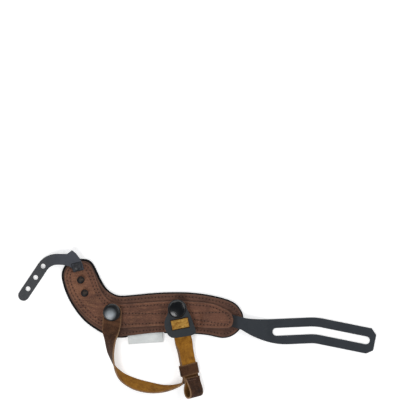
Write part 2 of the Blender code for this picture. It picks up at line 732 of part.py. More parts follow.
def hole_at_snap():
    return circle(snap_places()[1], BARREL_RADIUS + CLEARANCE, 16)


def label_loop(room):
    """The label's outline, wider by room at both ends and towards the pad."""
    centre = place(LABEL_PLACE)
    along = Vector((math.cos(LABEL_TURN), math.sin(LABEL_TURN)))
    up = Vector((-along.y, along.x))
    half = LABEL_LENGTH / 2 + room
    low, high = LABEL_TAIL - LABEL_WIDTH, LABEL_TAIL + room
    return [
        centre - along * half + up * low, centre + along * half + up * low,
        centre + along * half + up * high, centre - along * half + up * high,
    ]


def make_label():
    keep(plate("label", [label_loop(0.0)], PAD_THICK - LABEL_THICK, LABEL_THICK), label_cloth())


def leg_tilt(down):
    """How far the leg is tipped about its length, with its left edge up."""
    into_run = smooth_step((down - FOOT_END - MM) / (RUN_START - FOOT_END - MM))
    into_fold = smooth_step((down - RUN_END) / FOLD_TWIST)
    return LEG_TILT * into_run + (FOLD_TILT - LEG_TILT) * into_fold


def leg_height(down):
    """The height of the middle line between the leg's two layers."""
    top = OVERLAY_TOP + CLEARANCE + STRAP_THICK + LEG_GAP / 2
    if down < RUN_START:
        return top + (RUN_TOP - top) * smooth_step((down - FOOT_END) / (RUN_START - FOOT_END))
    if down < RUN_END:
        return RUN_TOP + (RUN_LOW - RUN_TOP) * (down - RUN_START) / (RUN_END - RUN_START)
    return RUN_LOW + (FOLD_HEIGHT - RUN_LOW) * smooth_step((down - RUN_END) / FOLD_TWIST)


def leg_layer(down, above):
    """A point of the leg, above the middle between its two layers."""
    tilt = leg_tilt(down)
    return leg_point(down, above * math.sin(tilt), leg_height(down) + above * math.cos(tilt))


def loop_point(x, y, tilt, lift):
    """A point of the strap's way round, with its tilt.

    It moves with the press stud it starts from, then with the pad's edge that it drops over, and at
    last with the slider's press stud.
    """
    drawn = Vector((x, y)) * MM
    snap, slider = (place(p) - Vector(p) * MM for p in (LEFT_SNAP_PLACE, RIGHT_SNAP_PLACE))
    edge = place(LEFT_EDGE_PLACE) - Vector(LEFT_EDGE_PLACE) * MM
    passed = smooth_step((LEFT_SNAP_PLACE[1] - y) / (LEFT_SNAP_PLACE[1] - LEFT_EDGE_PLACE[1]))
    share = (x - LEFT_SNAP_PLACE[0]) / (RIGHT_SNAP_PLACE[0] - LEFT_SNAP_PLACE[0])
    flat = drawn + snap.lerp(edge, passed).lerp(slider, min(max(share, 0.0), 1.0))
    turn = math.radians(tilt)
    resting = STRAP_WIDTH / 2 * abs(math.sin(turn)) + STRAP_THICK / 2 * abs(math.cos(turn)) + 0.15 * MM
    hung = SNAPPED_LOW - 0.15 * MM
    return Vector((flat.x, flat.y, resting + lift * hung, turn))


def edges(middle, across, half):
    return middle - across * half, middle + across * half


def loop_rows():
    """Both edges of the wrist strap, row by row, from its own end round to the folded end."""
    half = STRAP_WIDTH / 2
    way = smooth_line([loop_point(*p) for p in LOOP_PATH], 5)
    snap = way[0].to_3d()
    heading = (way[1].to_3d() - snap).normalized()
    side = Vector((-heading.y, heading.x, 0.0)).normalized()
    rows = [
        edges(snap - heading * half * back, side, half * math.sqrt(1 - back * back))
        for back in (0.96, 0.87, 0.72, 0.5, 0.25)
    ]
    for i, here in enumerate(way):
        before, after = way[max(i - 1, 0)], way[min(i + 1, len(way) - 1)]
        along = (after - before).to_3d()
        left = Vector((-along.y, along.x, 0.0)).normalized()
        across = math.sin(here.w) * Vector((0, 0, 1)) + math.cos(here.w) * left
        rows.append(edges(here.to_3d(), across, half))
    return rows


def leg_row(down, above):
    return edges(leg_layer(down, above), leg_width(leg_tilt(down)), STRAP_WIDTH / 2)


def turn_rows(arrived, left):
    """From the row that has arrived at the folded end to the row that has left up the leg."""
    into = (arrived[1][0] - arrived[0][0]).normalized()
    up = (left[1][0] - left[0][0]).normalized()
    paths = [
        bezier(start, start + into * reach_in * MM, end - up * reach_up * MM, end, 12)
        for start, end, (reach_in, reach_up) in zip(arrived[1], left[0], TURN_HANDLES)
    ]
    return list(zip(*paths))[1:-1]


def strap_rows():
    offset = (STRAP_THICK + LEG_GAP) / 2
    _, bar_low, bar_high, _ = slot_reaches()
    slider_top = SNAPPED_LOW + RUBBER_THICK
    rear, front = leg_height(0.0) - offset, leg_height(0.0) + offset
    turn_up, turn_down = bar_low - BAR_TURN + TURN_RADIUS, bar_high + BAR_TURN + TURN_RADIUS
    rows = loop_rows()
    rear_leg = [leg_row(d, -offset) for d in spread(RUN_END, turn_up, 20)[:-1]]
    rows += [*turn_rows(rows[-2:], rear_leg[:2]), *rear_leg]
    quarter = math.pi / 2
    over_bar = [
        *arc((turn_up, rear + TURN_RADIUS), TURN_RADIUS, 3 * quarter, 2 * quarter, 5),
        *arc((bar_low, slider_top), BAR_TURN, 2 * quarter, quarter, 5),
        *arc((bar_high, slider_top), BAR_TURN, quarter, 0, 5),
        *arc((turn_down, front + TURN_RADIUS), TURN_RADIUS, 2 * quarter, 3 * quarter, 5),
    ]
    rows += [edges(leg_point(p.x, 0.0, p.y), leg_width(0.0), STRAP_WIDTH / 2) for p in over_bar]
    fold = smooth_line([Vector(p) * MM for p in FOLD_PATH], 3)
    rows += [leg_row(d, offset) for d in spread(turn_down, fold[0].x, 22)[1:-1]]
    rows += [leg_row(p.x, p.y) for p in fold]
    return rows


def make_wrist_strap():
    columns = 4
    rows = strap_rows()
    mesh = bpy.data.meshes.new("wrist_strap")
    points = [low.lerp(high, share) for low, high in rows for share in spread(0.0, 1.0, columns + 1)]
    faces = []
    for row in range(len(rows) - 1):
        for column in range(columns):
            corner = row * (columns + 1) + column
            faces.append((corner, corner + 1, corner + columns + 2, corner + columns + 1))
    mesh.from_pydata(points, [], faces)
    mesh.shade_smooth()
    strap = bpy.data.objects.new("wrist_strap", mesh)
    bpy.context.scene.collection.objects.link(strap)
    wall = strap.modifiers.new("thickness", "SOLIDIFY")
    wall.thickness = STRAP_THICK
    wall.offset = 0.0
    wall.use_even_offset = False
    snap = snap_places()[0]
    room = BARREL_RADIUS + CLEARANCE
    boolean(strap, peg("strap hole", snap, room, SNAPPED_LOW - MM, SNAPPED_LOW + 3 * MM, 16))
    keep(strap, brown_leather())


def make_keeper():
    inner = (STRAP_WIDTH / 2 + CLEARANCE, STRAP_THICK + LEG_GAP / 2 + CLEARANCE)
    outer = (inner[0] + KEEPER_THICK, inner[1] + KEEPER_THICK)
    loops = []
    for (x, y), radius in ((outer, 1.4 * MM), (inner, 0.4 * MM)):
        loops.append(round_corners([(-x, -y), (x, -y), (x, y), (-x, y)], [radius] * 4, 4))
    keeper = plate("keeper", loops, -KEEPER_LENGTH / 2, KEEPER_LENGTH)
    down = (leg_layer(KEEPER_AT + MM, 0.0) - leg_layer(KEEPER_AT - MM, 0.0)).normalized()
    left = leg_width(LEG_TILT)
    left = (left - left.dot(down) * down).normalized()
    turn = Matrix((-left, down.cross(-left), down)).transposed().to_4x4()
    keeper.matrix_world = Matrix.Translation(leg_layer(KEEPER_AT, 0.0)) @ turn
    keep(keeper, brown_leather())


clear_scene()
PARTS = new_collection("camera hand grip strap")
CUTTERS = new_collection("cutters")
make_pad()
make_base_leather()
make_overlay_leather()
make_label()
make_studs()
make_snap("left", snap_places()[0], STRAP_THICK)
make_snap("right", snap_places()[1], RUBBER_THICK)
make_perforated_strap()
make_slotted_strap()
make_slider()
make_wrist_strap()
make_keeper()
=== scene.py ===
"""Looks of a leather hand strap for a camera, laid flat with its padded side down."""

import math

import bmesh
import bpy
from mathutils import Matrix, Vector, geometry, noise
from mathutils.bvhtree import BVHTree
from mathutils.kdtree import KDTree


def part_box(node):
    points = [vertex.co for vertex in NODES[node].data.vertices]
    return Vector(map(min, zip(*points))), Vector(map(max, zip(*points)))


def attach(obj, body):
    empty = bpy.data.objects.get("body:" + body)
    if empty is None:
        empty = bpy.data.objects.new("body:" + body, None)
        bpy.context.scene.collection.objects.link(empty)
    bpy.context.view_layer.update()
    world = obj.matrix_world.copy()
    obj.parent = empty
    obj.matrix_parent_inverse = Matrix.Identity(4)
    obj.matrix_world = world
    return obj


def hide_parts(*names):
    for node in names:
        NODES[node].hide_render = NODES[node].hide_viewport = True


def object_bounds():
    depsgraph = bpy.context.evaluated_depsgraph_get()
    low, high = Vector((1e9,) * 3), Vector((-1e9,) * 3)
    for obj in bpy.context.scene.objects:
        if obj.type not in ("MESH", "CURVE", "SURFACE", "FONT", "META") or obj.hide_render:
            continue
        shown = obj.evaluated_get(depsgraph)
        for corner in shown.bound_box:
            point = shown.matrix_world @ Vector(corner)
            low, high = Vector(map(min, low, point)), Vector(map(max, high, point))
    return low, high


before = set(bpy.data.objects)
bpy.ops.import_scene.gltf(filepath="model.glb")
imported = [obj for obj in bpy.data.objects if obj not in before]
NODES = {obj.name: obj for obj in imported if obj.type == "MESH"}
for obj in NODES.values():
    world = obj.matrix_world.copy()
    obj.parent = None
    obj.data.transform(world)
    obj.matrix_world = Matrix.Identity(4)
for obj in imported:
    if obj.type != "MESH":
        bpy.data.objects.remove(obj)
CAD_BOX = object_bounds()
MM = 0.001

# Where things are on the pad, from its own drawing
LEFT_SNAP = Vector((-33.4, 3.5)) * MM
RIGHT_SNAP = Vector((24.0, 6.3)) * MM
STUDS = [(Vector((-64.2, 43.3)) + Vector((0.285, -0.9585)) * 12.0 * i) * MM for i in range(3)]
LEG_TURN = math.radians(11)
LEG_DOWN = Vector((math.sin(LEG_TURN), -math.cos(LEG_TURN)))
LEG_RIGHT = Vector((math.cos(LEG_TURN), math.sin(LEG_TURN)))
LABEL_TURN = math.radians(3.6)

EDGE_PITCH = 0.8 * MM
STITCH_PITCH = 3.0 * MM
NEEDLE_RADIUS = 0.62 * MM
THREAD_RADIUS = 0.20 * MM
HIDE_THICK = 1.4 * MM
CAP_RADIUS = 7.7 * MM
STUD_RADIUS = 3.3 * MM

FLOAT, VECTOR, COLOR = "NodeSocketFloat", "NodeSocketVector", "NodeSocketColor"


# Shader helpers

def put(tree, kind, inputs=None, **settings):
    """A node with its settings, and its inputs set or linked by name."""
    made = tree.nodes.new(kind)
    for key, value in settings.items():
        setattr(made, key, value)
    for key, value in (inputs or {}).items():
        feed(tree, made.inputs[key], value)
    return made


def feed(tree, socket, value):
    if isinstance(value, bpy.types.NodeSocket):
        tree.links.new(value, socket)
    elif socket.type == "RGBA" and len(value) == 3:
        socket.default_value = (*value, 1.0)
    else:
        socket.default_value = value


def blend(tree, share, first, second):
    made = tree.nodes.new("ShaderNodeMix")
    made.data_type = "RGBA"
    for index, value in ((0, share), (6, first), (7, second)):
        feed(tree, made.inputs[index], value)
    return made.outputs[2]


def sums(tree, operation, first, second=0.0, clamp=False):
    return put(tree, "ShaderNodeMath", {0: first, 1: second}, operation=operation, use_clamp=clamp).outputs[0]


def vectors(tree, operation, first, second):
    return put(tree, "ShaderNodeVectorMath", {0: first, 1: second}, operation=operation).outputs[0]


def scaled(tree, vector, scale):
    return put(tree, "ShaderNodeVectorMath", {0: vector, "Scale": scale}, operation="SCALE").outputs[0]


def axes(tree, vector):
    return put(tree, "ShaderNodeSeparateXYZ", {0: vector}).outputs


def remap(tree, value, low, high, to_low=0.0, to_high=1.0):
    return put(tree, "ShaderNodeMapRange", {"Value": value, "From Min": low, "From Max": high,
                                            "To Min": to_low, "To Max": to_high}).outputs[0]


def cloud(tree, where, scale, detail=4.0, roughness=0.55, distortion=0.0):
    return put(tree, "ShaderNodeTexNoise", {"Vector": where, "Scale": scale, "Detail": detail,
                                            "Roughness": roughness, "Distortion": distortion}).outputs[0]


def stretched(tree, where, scale):
    return put(tree, "ShaderNodeMapping", {"Vector": where, "Scale": scale}).outputs[0]


def shared_effect(name, inputs, outputs):
    """An empty node group with named sockets, and the two nodes that stand for them inside."""
    group = bpy.data.node_groups.new(name, "ShaderNodeTree")
    for label, kind, value in inputs:
        socket = group.interface.new_socket(name=label, in_out="INPUT", socket_type=kind)
        if value is not None:
            socket.default_value = (*value, 1.0) if kind == COLOR else value
    for label, kind in outputs:
        group.interface.new_socket(name=label, in_out="OUTPUT", socket_type=kind)
    return group, group.nodes.new("NodeGroupInput").outputs, group.nodes.new("NodeGroupOutput").inputs


def leather_grain():
    """Pebbled hide with fine pores: the height, and where the creases between pebbles are."""
    group, given, result = shared_effect(
        "Leather Grain",
        [("Vector", VECTOR, None), ("Pebbles per Metre", FLOAT, 900.0),
         ("Pores", FLOAT, 0.35)],
        [("Height", FLOAT), ("Crease", FLOAT)],
    )
    wander = put(group, "ShaderNodeTexNoise", {"Vector": given["Vector"], "Scale": 700.0, "Detail": 3.0})
    shift = vectors(group, "SUBTRACT", wander.outputs[1], (0.5, 0.5, 0.5))
    bent = vectors(group, "ADD", given["Vector"], scaled(group, shift, 0.0011))
    pebbles = put(group, "ShaderNodeTexVoronoi", {"Vector": bent, "Scale": given["Pebbles per Metre"]},
                  feature="DISTANCE_TO_EDGE")
    crown = remap(group, pebbles.outputs[0], 0.0, 0.28)
    pores = cloud(group, given["Vector"], 4200.0, 2.0, 0.6)
    fine = sums(group, "MULTIPLY", pores, given["Pores"])
    group.links.new(sums(group, "ADD", crown, fine), result["Height"])
    group.links.new(sums(group, "SUBTRACT", 1.0, crown, clamp=True), result["Crease"])
    return group


def mottled_dye():
    """Dye that took unevenly: broad dark and light patches, streaks and small flecks."""
    group, given, result = shared_effect(
        "Mottled Dye",
        [("Vector", VECTOR, None), ("Dark", COLOR, (0.05, 0.03, 0.02)),
         ("Middle", COLOR, (0.11, 0.06, 0.04)), ("Light", COLOR, (0.2, 0.1, 0.06)),
         ("Patches per Metre", FLOAT, 60.0), ("Worn", FLOAT, 0.0),
         ("Flecks", FLOAT, 0.5)],
        [("Color", COLOR), ("Light Mask", FLOAT)],
    )
    broad = cloud(group, given["Vector"], given["Patches per Metre"], 5.0, 0.62, 0.4)
    deep = blend(group, remap(group, broad, 0.36, 0.58), given["Dark"], given["Middle"])
    streaks = cloud(group, stretched(group, given["Vector"], (90.0, 420.0, 420.0)), 1.0, 5.0, 0.7, 0.3)
    speckle = cloud(group, given["Vector"], 1100.0, 3.0, 0.7)
    joined = sums(group, "ADD", sums(group, "MULTIPLY", streaks, 0.6), sums(group, "MULTIPLY", speckle, 0.4))
    lowered = sums(group, "ADD", joined, sums(group, "MULTIPLY", given["Worn"], 0.13))
    mask = sums(group, "MULTIPLY", remap(group, lowered, 0.5, 0.68), given["Flecks"], clamp=True)
    group.links.new(blend(group, mask, deep, given["Light"]), result["Color"])
    group.links.new(mask, result["Light Mask"])
    return group


def rubbed_edge():
    """Paler colour where use has rubbed an edge, broken up so that it comes and goes."""
    group, given, result = shared_effect(
        "Rubbed Edge",
        [("Vector", VECTOR, None), ("Color", COLOR, (0.1, 0.1, 0.1)),
         ("Pale", COLOR, (0.3, 0.2, 0.1)), ("Rubbing", FLOAT, 0.0),
         ("Amount", FLOAT, 0.8)],
        [("Color", COLOR), ("Mask", FLOAT)],
    )
    broken = remap(group, cloud(group, given["Vector"], 520.0, 4.0, 0.7), 0.34, 0.6, 0.25, 1.0)
    strength = sums(group, "MULTIPLY", broken, given["Amount"])
    mask = sums(group, "MULTIPLY", given["Rubbing"], strength, clamp=True)
    group.links.new(blend(group, mask, given["Color"], given["Pale"]), result["Color"])
    group.links.new(mask, result["Mask"])
    return group


def fibre_nap():
    """Short brushed fibres: a height, and a shade that turns with the nap's direction."""
    group, given, result = shared_effect(
        "Fibre Nap",
        [("Vector", VECTOR, None), ("Fibres per Metre", FLOAT, 2600.0)],
        [("Height", FLOAT), ("Shade", FLOAT)],
    )
    tufts = cloud(group, given["Vector"], 620.0, 4.0, 0.7, 0.6)
    fibres = cloud(group, given["Vector"], given["Fibres per Metre"], 3.0, 0.75, 1.2)
    group.links.new(sums(group, "ADD", sums(group, "MULTIPLY", tufts, 0.5), fibres), result["Height"])
    brushed = cloud(group, given["Vector"], 110.0, 3.0, 0.6, 0.8)
    both = sums(group, "ADD", sums(group, "MULTIPLY", brushed, 0.55), sums(group, "MULTIPLY", tufts, 0.45))
    group.links.new(remap(group, both, 0.36, 0.64), result["Shade"])
    return group


def painted_light_patch():
    """A soft-edged round patch beside a turned head's axis, for painted light: the painted highlight on a
    cap, and a stud's middle inside its painted rim shade.
    """
    group, given, result = shared_effect(
        "Painted Light Patch",
        [("Vector", VECTOR, None), ("Beside Axis", VECTOR, None),
         ("Full Radius", FLOAT, 0.002), ("Last Radius", FLOAT, 0.005)],
        [("Mask", FLOAT)],
    )
    moved = vectors(group, "SUBTRACT", given["Vector"], given["Beside Axis"])
    flat = vectors(group, "MULTIPLY", moved, (1.0, 1.0, 0.0))
    reach = put(group, "ShaderNodeVectorMath", {0: flat}, operation="LENGTH").outputs["Value"]
    wander = sums(group, "SUBTRACT", cloud(group, given["Vector"], 420.0), 0.5)
    uneven = sums(group, "ADD", reach, sums(group, "MULTIPLY", wander, 1.6 * MM))
    group.links.new(remap(group, uneven, given["Full Radius"], given["Last Radius"], 1.0, 0.0),
                    result["Mask"])
    return group


def woven_threads():
    """A plain weave: over and under threads along both axes."""
    group, given, result = shared_effect(
        "Woven Threads",
        [("Vector", VECTOR, None), ("Threads per Metre", FLOAT, 2400.0)],
        [("Height", FLOAT), ("Gaps", FLOAT)],
    )
    across = axes(group, scaled(group, given["Vector"], given["Threads per Metre"]))
    warp = sums(group, "SINE", sums(group, "MULTIPLY", across[0], math.pi))
    weft = sums(group, "SINE", sums(group, "MULTIPLY", across[1], math.pi))
    crossed = sums(group, "MULTIPLY", warp, weft)
    uneven = cloud(group, given["Vector"], 900.0, 2.0)
    group.links.new(sums(group, "ADD", crossed, sums(group, "MULTIPLY", uneven, 0.6)), result["Height"])
    group.links.new(remap(group, sums(group, "ABSOLUTE", crossed), 0.0, 0.35, 1.0, 0.0), result["Gaps"])
    return group


GRAIN = leather_grain()
DYE = mottled_dye()
RUBBED = rubbed_edge()
NAP = fibre_nap()
PAINTED_LIGHT_PATCH = painted_light_patch()
WEAVE = woven_threads()


def use(tree, group, inputs):
    made = tree.nodes.new("ShaderNodeGroup")
    made.node_tree = group
    for key, value in inputs.items():
        feed(tree, made.inputs[key], value)
    return made.outputs


def fresh(name):
    """A new material with its node tree, its shader and the object's own coordinates."""
    made = bpy.data.materials.new(name)
    made.use_nodes = True
    tree = made.node_tree
    where = tree.nodes.new("ShaderNodeTexCoord").outputs["Object"]
    return made, tree, tree.nodes["Principled BSDF"], where


def measured(tree, name):
    """A value that the piece's mesh carries at its points."""
    return put(tree, "ShaderNodeAttribute", attribute_name=name).outputs["Fac"]


def bumped(tree, shader, height, depth):
    made = put(tree, "ShaderNodeBump", {"Height": height, "Distance": depth, "Strength": 1.0})
    tree.links.new(made.outputs[0], shader.inputs["Normal"])


def steady(shader, values):
    """Plain numbers on the shader's own sockets."""
    for key, value in values.items():
        shader.inputs[key].default_value = value


def rubbed_pale(tree, where, color, pale, amount):
    """The colour, paler where the piece's mesh says that it is rubbed."""
    return use(tree, RUBBED, {"Vector": where, "Color": color, "Pale": pale,
                              "Rubbing": measured(tree, "rubbing"), "Amount": amount})["Color"]


def waxed_leather(name, dark, middle, light, pale, pebbles, flecks, roughness, gloss):
    made, tree, shader, where = fresh(name)
    dye = use(tree, DYE, {"Vector": where, "Dark": dark, "Middle": middle, "Light": light,
                          "Patches per Metre": 55.0, "Worn": measured(tree, "worn"), "Flecks": flecks})
    grain = use(tree, GRAIN, {"Vector": where, "Pebbles per Metre": pebbles, "Pores": 0.4})
    # Painted shade: the colour darkens in the creases between pebbles.
    creased = sums(tree, "MULTIPLY", grain["Crease"], 0.35)
    wear_and_highlight = rubbed_pale(tree, where, blend(tree, creased, dye["Color"], dark), pale, 0.75)
    # Painted shade: the needle holes are painted near black.
    needle = measured(tree, "needle")
    feed(tree, shader.inputs["Base Color"], blend(tree, needle, wear_and_highlight, (0.012, 0.006, 0.005)))
    feed(tree, shader.inputs["Roughness"],
         remap(tree, grain["Crease"], 0.0, 1.0, roughness - 0.06, roughness + 0.18))
    shader.inputs["Specular IOR Level"].default_value = gloss
    bumped(tree, shader, grain["Height"], 0.00010)
    return made


def suede():
    made, tree, shader, where = fresh("ochre suede")
    nap = use(tree, NAP, {"Vector": where, "Fibres per Metre": 2400.0})
    # The suede over the slider's bar is lighter: partly painted light where the bar is lit, partly suede
    # sheltered from wear.
    lit_and_sheltered = blend(tree, measured(tree, "lit_and_sheltered"), (0.38, 0.170, 0.021), (0.60, 0.36, 0.085))
    plain = blend(tree, nap["Shade"], (0.17, 0.066, 0.008), lit_and_sheltered)
    # Darker along the cut edges.
    wear_and_highlight = rubbed_pale(tree, where, plain, (0.10, 0.045, 0.014), 0.5)
    # Painted shade: the suede is darkened round the gap and in the fold's opening.
    painted_shade = sums(tree, "MULTIPLY", measured(tree, "painted_shade"), 0.85)
    feed(tree, shader.inputs["Base Color"], blend(tree, painted_shade, wear_and_highlight, (0.050, 0.022, 0.010)))
    steady(shader, {"Roughness": 0.95, "Specular IOR Level": 0.08, "Sheen Weight": 0.03,
                    "Sheen Roughness": 0.6})
    bumped(tree, shader, nap["Height"], 0.00016)
    return made


def cut_hide(name, dark, pale):
    """The cut edge of the hide, with its layers of fibre."""
    made, tree, shader, where = fresh(name)
    layers = cloud(tree, stretched(tree, where, (500.0, 500.0, 3600.0)), 1.0, 4.0, 0.7, 0.5)
    color = blend(tree, remap(tree, layers, 0.38, 0.62), dark, pale)
    feed(tree, shader.inputs["Base Color"], color)
    shader.inputs["Roughness"].default_value = 0.85
    bumped(tree, shader, layers, 0.00012)
    return made


def moulded_rubber(name, plain, worn, framed=False, shadow_under_overlay=False):
    made, tree, shader, where = fresh(name)
    tone = cloud(tree, where, 70.0, 5.0, 0.6)
    scuffs = cloud(tree, stretched(tree, where, (260.0, 1400.0, 800.0)), 1.0, 4.0, 0.7, 0.4)
    base = blend(tree, remap(tree, tone, 0.35, 0.65), tuple(c * 0.86 for c in plain), plain)
    scuffed = blend(tree, remap(tree, scuffs, 0.56, 0.76, 0.0, 0.4), base, worn)
    shaded = rubbed_pale(tree, where, scuffed, worn, 0.7)
    skin = cloud(tree, where, 3000.0, 3.0, 0.6)
    depth = 0.00005
    if framed:
        # The left arm, past x = -82 mm, is darker and mottled.
        holed = remap(tree, axes(tree, where)[0], -0.094, -0.082, 1.0, 0.0)
        arm_mottle = remap(tree, cloud(tree, where, 1300.0, 3.0, 0.7), 0.35, 0.65, 0.42, 0.95)
        darker_mottled = blend(tree, arm_mottle, (0.012, 0.013, 0.014), (0.060, 0.062, 0.066))
        shaded = blend(tree, sums(tree, "MULTIPLY", holed, 0.8), shaded, darker_mottled)
        # Painted shade in the sunk line round the foot: the groove is darkened as well as bumped.
        sunk = moulded_frame(tree, where)
        shaded = blend(tree, sunk, shaded, tuple(c * 0.22 for c in plain))
        skin = sums(tree, "SUBTRACT", skin, sums(tree, "MULTIPLY", sunk, 2.5))
        depth = 0.00012
    # Painted shadow: the strap is darkened where it goes down under the overlay's end.
    if shadow_under_overlay:
        under = remap(tree, axes(tree, where)[0], 0.0755, 0.0780, 0.75, 0.0)
        shaded = blend(tree, under, shaded, tuple(c * 0.15 for c in plain))
    feed(tree, shader.inputs["Base Color"], shaded)
    feed(tree, shader.inputs["Roughness"], remap(tree, tone, 0.3, 0.7, 0.42, 0.6))
    shader.inputs["Specular IOR Level"].default_value = 0.3
    bumped(tree, shader, skin, depth)
    return made


def moulded_frame(tree, where):
    """The sunk line round the foot of the perforated strap, with the anchor stud in its middle: the mask for
    its painted shade and its bump.
    """
    centre = vectors(tree, "SUBTRACT", where, (STUDS[0].x, STUDS[0].y, 0.0))
    turned_back = put(tree, "ShaderNodeMapping", {"Vector": centre,
                                                  "Rotation": (0.0, 0.0, math.radians(-13))})
    parts = axes(tree, turned_back.outputs[0])
    across = sums(tree, "DIVIDE", sums(tree, "ABSOLUTE", parts[0]), 4.5 * MM)
    down = sums(tree, "DIVIDE", sums(tree, "ABSOLUTE", parts[1]), 3.9 * MM)
    reach = sums(tree, "MAXIMUM", across, down)
    from_line = sums(tree, "ABSOLUTE", sums(tree, "SUBTRACT", reach, 0.9))
    return remap(tree, from_line, 0.05, 0.13, 1.0, 0.0)


def lacquer(name, dark, light, highlight_grey, spread):
    """Black lacquer on a press stud's cap, with a painted highlight: a grey patch beside its middle,
    strongest towards the lower side.
    """
    made, tree, shader, where = fresh(name)
    haze = cloud(tree, where, 300.0, 4.0, 0.65)
    # Painted highlight: the grey patch stands for a soft highlight on the cap.
    wear_and_highlight = use(tree, PAINTED_LIGHT_PATCH, {"Vector": where, "Beside Axis": (-1.2 * MM, -1.1 * MM, 0.0),
                               "Full Radius": 2.2 * MM, "Last Radius": 5.8 * MM})
    lower = remap(tree, axes(tree, where)[1], -4.0 * MM, 4.0 * MM, 1.0, 0.3)
    strength = sums(tree, "MULTIPLY", sums(tree, "MULTIPLY", wear_and_highlight["Mask"], lower),
                    remap(tree, haze, 0.3, 0.7, 0.7, 1.0), clamp=True)
    feed(tree, shader.inputs["Base Color"], blend(tree, strength, blend(tree, haze, dark, light), highlight_grey))
    scratches = cloud(tree, stretched(tree, where, (500.0, 3200.0, 900.0)), 1.0, 3.0, 0.7, 0.3)
    feed(tree, shader.inputs["Roughness"], remap(tree, scratches, 0.35, 0.75, spread, spread + 0.12))
    steady(shader, {"IOR": 1.4, "Coat Weight": 0.05, "Coat Roughness": 0.12})
    bumped(tree, shader, haze, 0.00003)
    return made


def oxidised_metal():
    made, tree, shader, where = fresh("oxidised black metal")
    patches = cloud(tree, where, 900.0, 4.0, 0.65)
    color = blend(tree, remap(tree, patches, 0.4, 0.65), (0.008, 0.009, 0.012), (0.026, 0.026, 0.030))
    feed(tree, shader.inputs["Base Color"], color)
    feed(tree, shader.inputs["Roughness"], remap(tree, patches, 0.3, 0.7, 0.34, 0.5))
    feed(tree, shader.inputs["Metallic"], remap(tree, patches, 0.3, 0.7, 0.1, 0.35))
    bumped(tree, shader, patches, 0.00003)
    return made


def stud_metal():
    """The mushroom studs' heads: brown in the middle, and black round their rim as painted shade."""
    made, tree, shader, where = fresh("handled stud metal")
    patches = cloud(tree, where, 900.0, 4.0, 0.65)
    crown = use(tree, PAINTED_LIGHT_PATCH, {"Vector": where, "Beside Axis": (0.3 * MM, 0.5 * MM, 0.0),
                              "Full Radius": 1.1 * MM, "Last Radius": 2.7 * MM})["Mask"]
    brown = blend(tree, remap(tree, patches, 0.4, 0.65), (0.026, 0.018, 0.014), (0.058, 0.042, 0.032))
    # Painted shade: black round the rim, outside the brown middle.
    feed(tree, shader.inputs["Base Color"], blend(tree, crown, (0.004, 0.004, 0.005), brown))
    feed(tree, shader.inputs["Roughness"], remap(tree, patches, 0.3, 0.7, 0.38, 0.52))
    shader.inputs["Specular IOR Level"].default_value = 0.15
    bumped(tree, shader, patches, 0.00003)
    return made


def knitted_black():
    made, tree, shader, where = fresh("black knitted lining")
    knit = use(tree, WEAVE, {"Vector": where, "Threads per Metre": 1900.0})
    fluff = cloud(tree, where, 1500.0, 4.0, 0.7)
    plain = blend(tree, remap(tree, fluff, 0.35, 0.7), (0.004, 0.004, 0.0045), (0.013, 0.013, 0.014))
    feed(tree, shader.inputs["Base Color"], blend(tree, knit["Gaps"], plain, (0.003, 0.003, 0.003)))
    steady(shader, {"Roughness": 0.95, "Specular IOR Level": 0.12})
    bumped(tree, shader, knit["Height"], 0.00014)
    return made


def woven_label():
    made, tree, shader, where = fresh("woven label cloth")
    turned = put(tree, "ShaderNodeMapping", {"Vector": where, "Rotation": (0.0, 0.0, -LABEL_TURN)})
    weave = use(tree, WEAVE, {"Vector": turned.outputs[0], "Threads per Metre": 2600.0})
    soil = cloud(tree, where, 160.0, 4.0, 0.6)
    plain = blend(tree, remap(tree, soil, 0.35, 0.7), (0.70, 0.735, 0.73), (0.80, 0.83, 0.82))
    feed(tree, shader.inputs["Base Color"], blend(tree, sums(tree, "MULTIPLY", weave["Gaps"], 0.4), plain,
                                                  (0.55, 0.57, 0.57)))
    shader.inputs["Roughness"].default_value = 0.85
    bumped(tree, shader, weave["Height"], 0.00008)
    return made


def twisted_thread(name, dark, light):
    made, tree, shader, where = fresh(name)
    ply = put(tree, "ShaderNodeTexWave", {"Vector": where, "Scale": 900.0, "Distortion": 2.0},
              bands_direction="DIAGONAL")
    feed(tree, shader.inputs["Base Color"], blend(tree, ply.outputs[1], dark, light))
    shader.inputs["Roughness"].default_value = 0.7
    bumped(tree, shader, ply.outputs[1], 0.00005)
    return made


RAW_EDGE = cut_hide("raw cut edge", (0.13, 0.066, 0.032), (0.30, 0.18, 0.092))
DARK_EDGE = cut_hide("burnished cut edge", (0.045, 0.021, 0.014), (0.10, 0.049, 0.031))
BASE_HIDE = waxed_leather("base hide", (0.058, 0.027, 0.019), (0.118, 0.053, 0.034), (0.215, 0.102, 0.060),
                          (0.17, 0.085, 0.052), 800.0, 0.6, 0.62, 0.22)
TOP_HIDE = waxed_leather("overlay hide", (0.068, 0.029, 0.019), (0.145, 0.061, 0.037), (0.285, 0.130, 0.070),
                         (0.22, 0.112, 0.065), 760.0, 0.8, 0.62, 0.22)
STRAP_HIDE = waxed_leather("strap hide", (0.020, 0.009, 0.005), (0.058, 0.024, 0.012), (0.17, 0.076, 0.036),
                           (0.30, 0.165, 0.08), 1300.0, 0.6, 0.6, 0.11)
KEEPER_HIDE = waxed_leather("keeper hide", (0.034, 0.014, 0.007), (0.080, 0.035, 0.016), (0.16, 0.074, 0.034),
                            (0.30, 0.165, 0.08), 1300.0, 0.5, 0.6, 0.08)
SUEDE = suede()
HOLED_RUBBER = moulded_rubber("blue-grey rubber", (0.046, 0.050, 0.063), (0.085, 0.09, 0.10), framed=True)
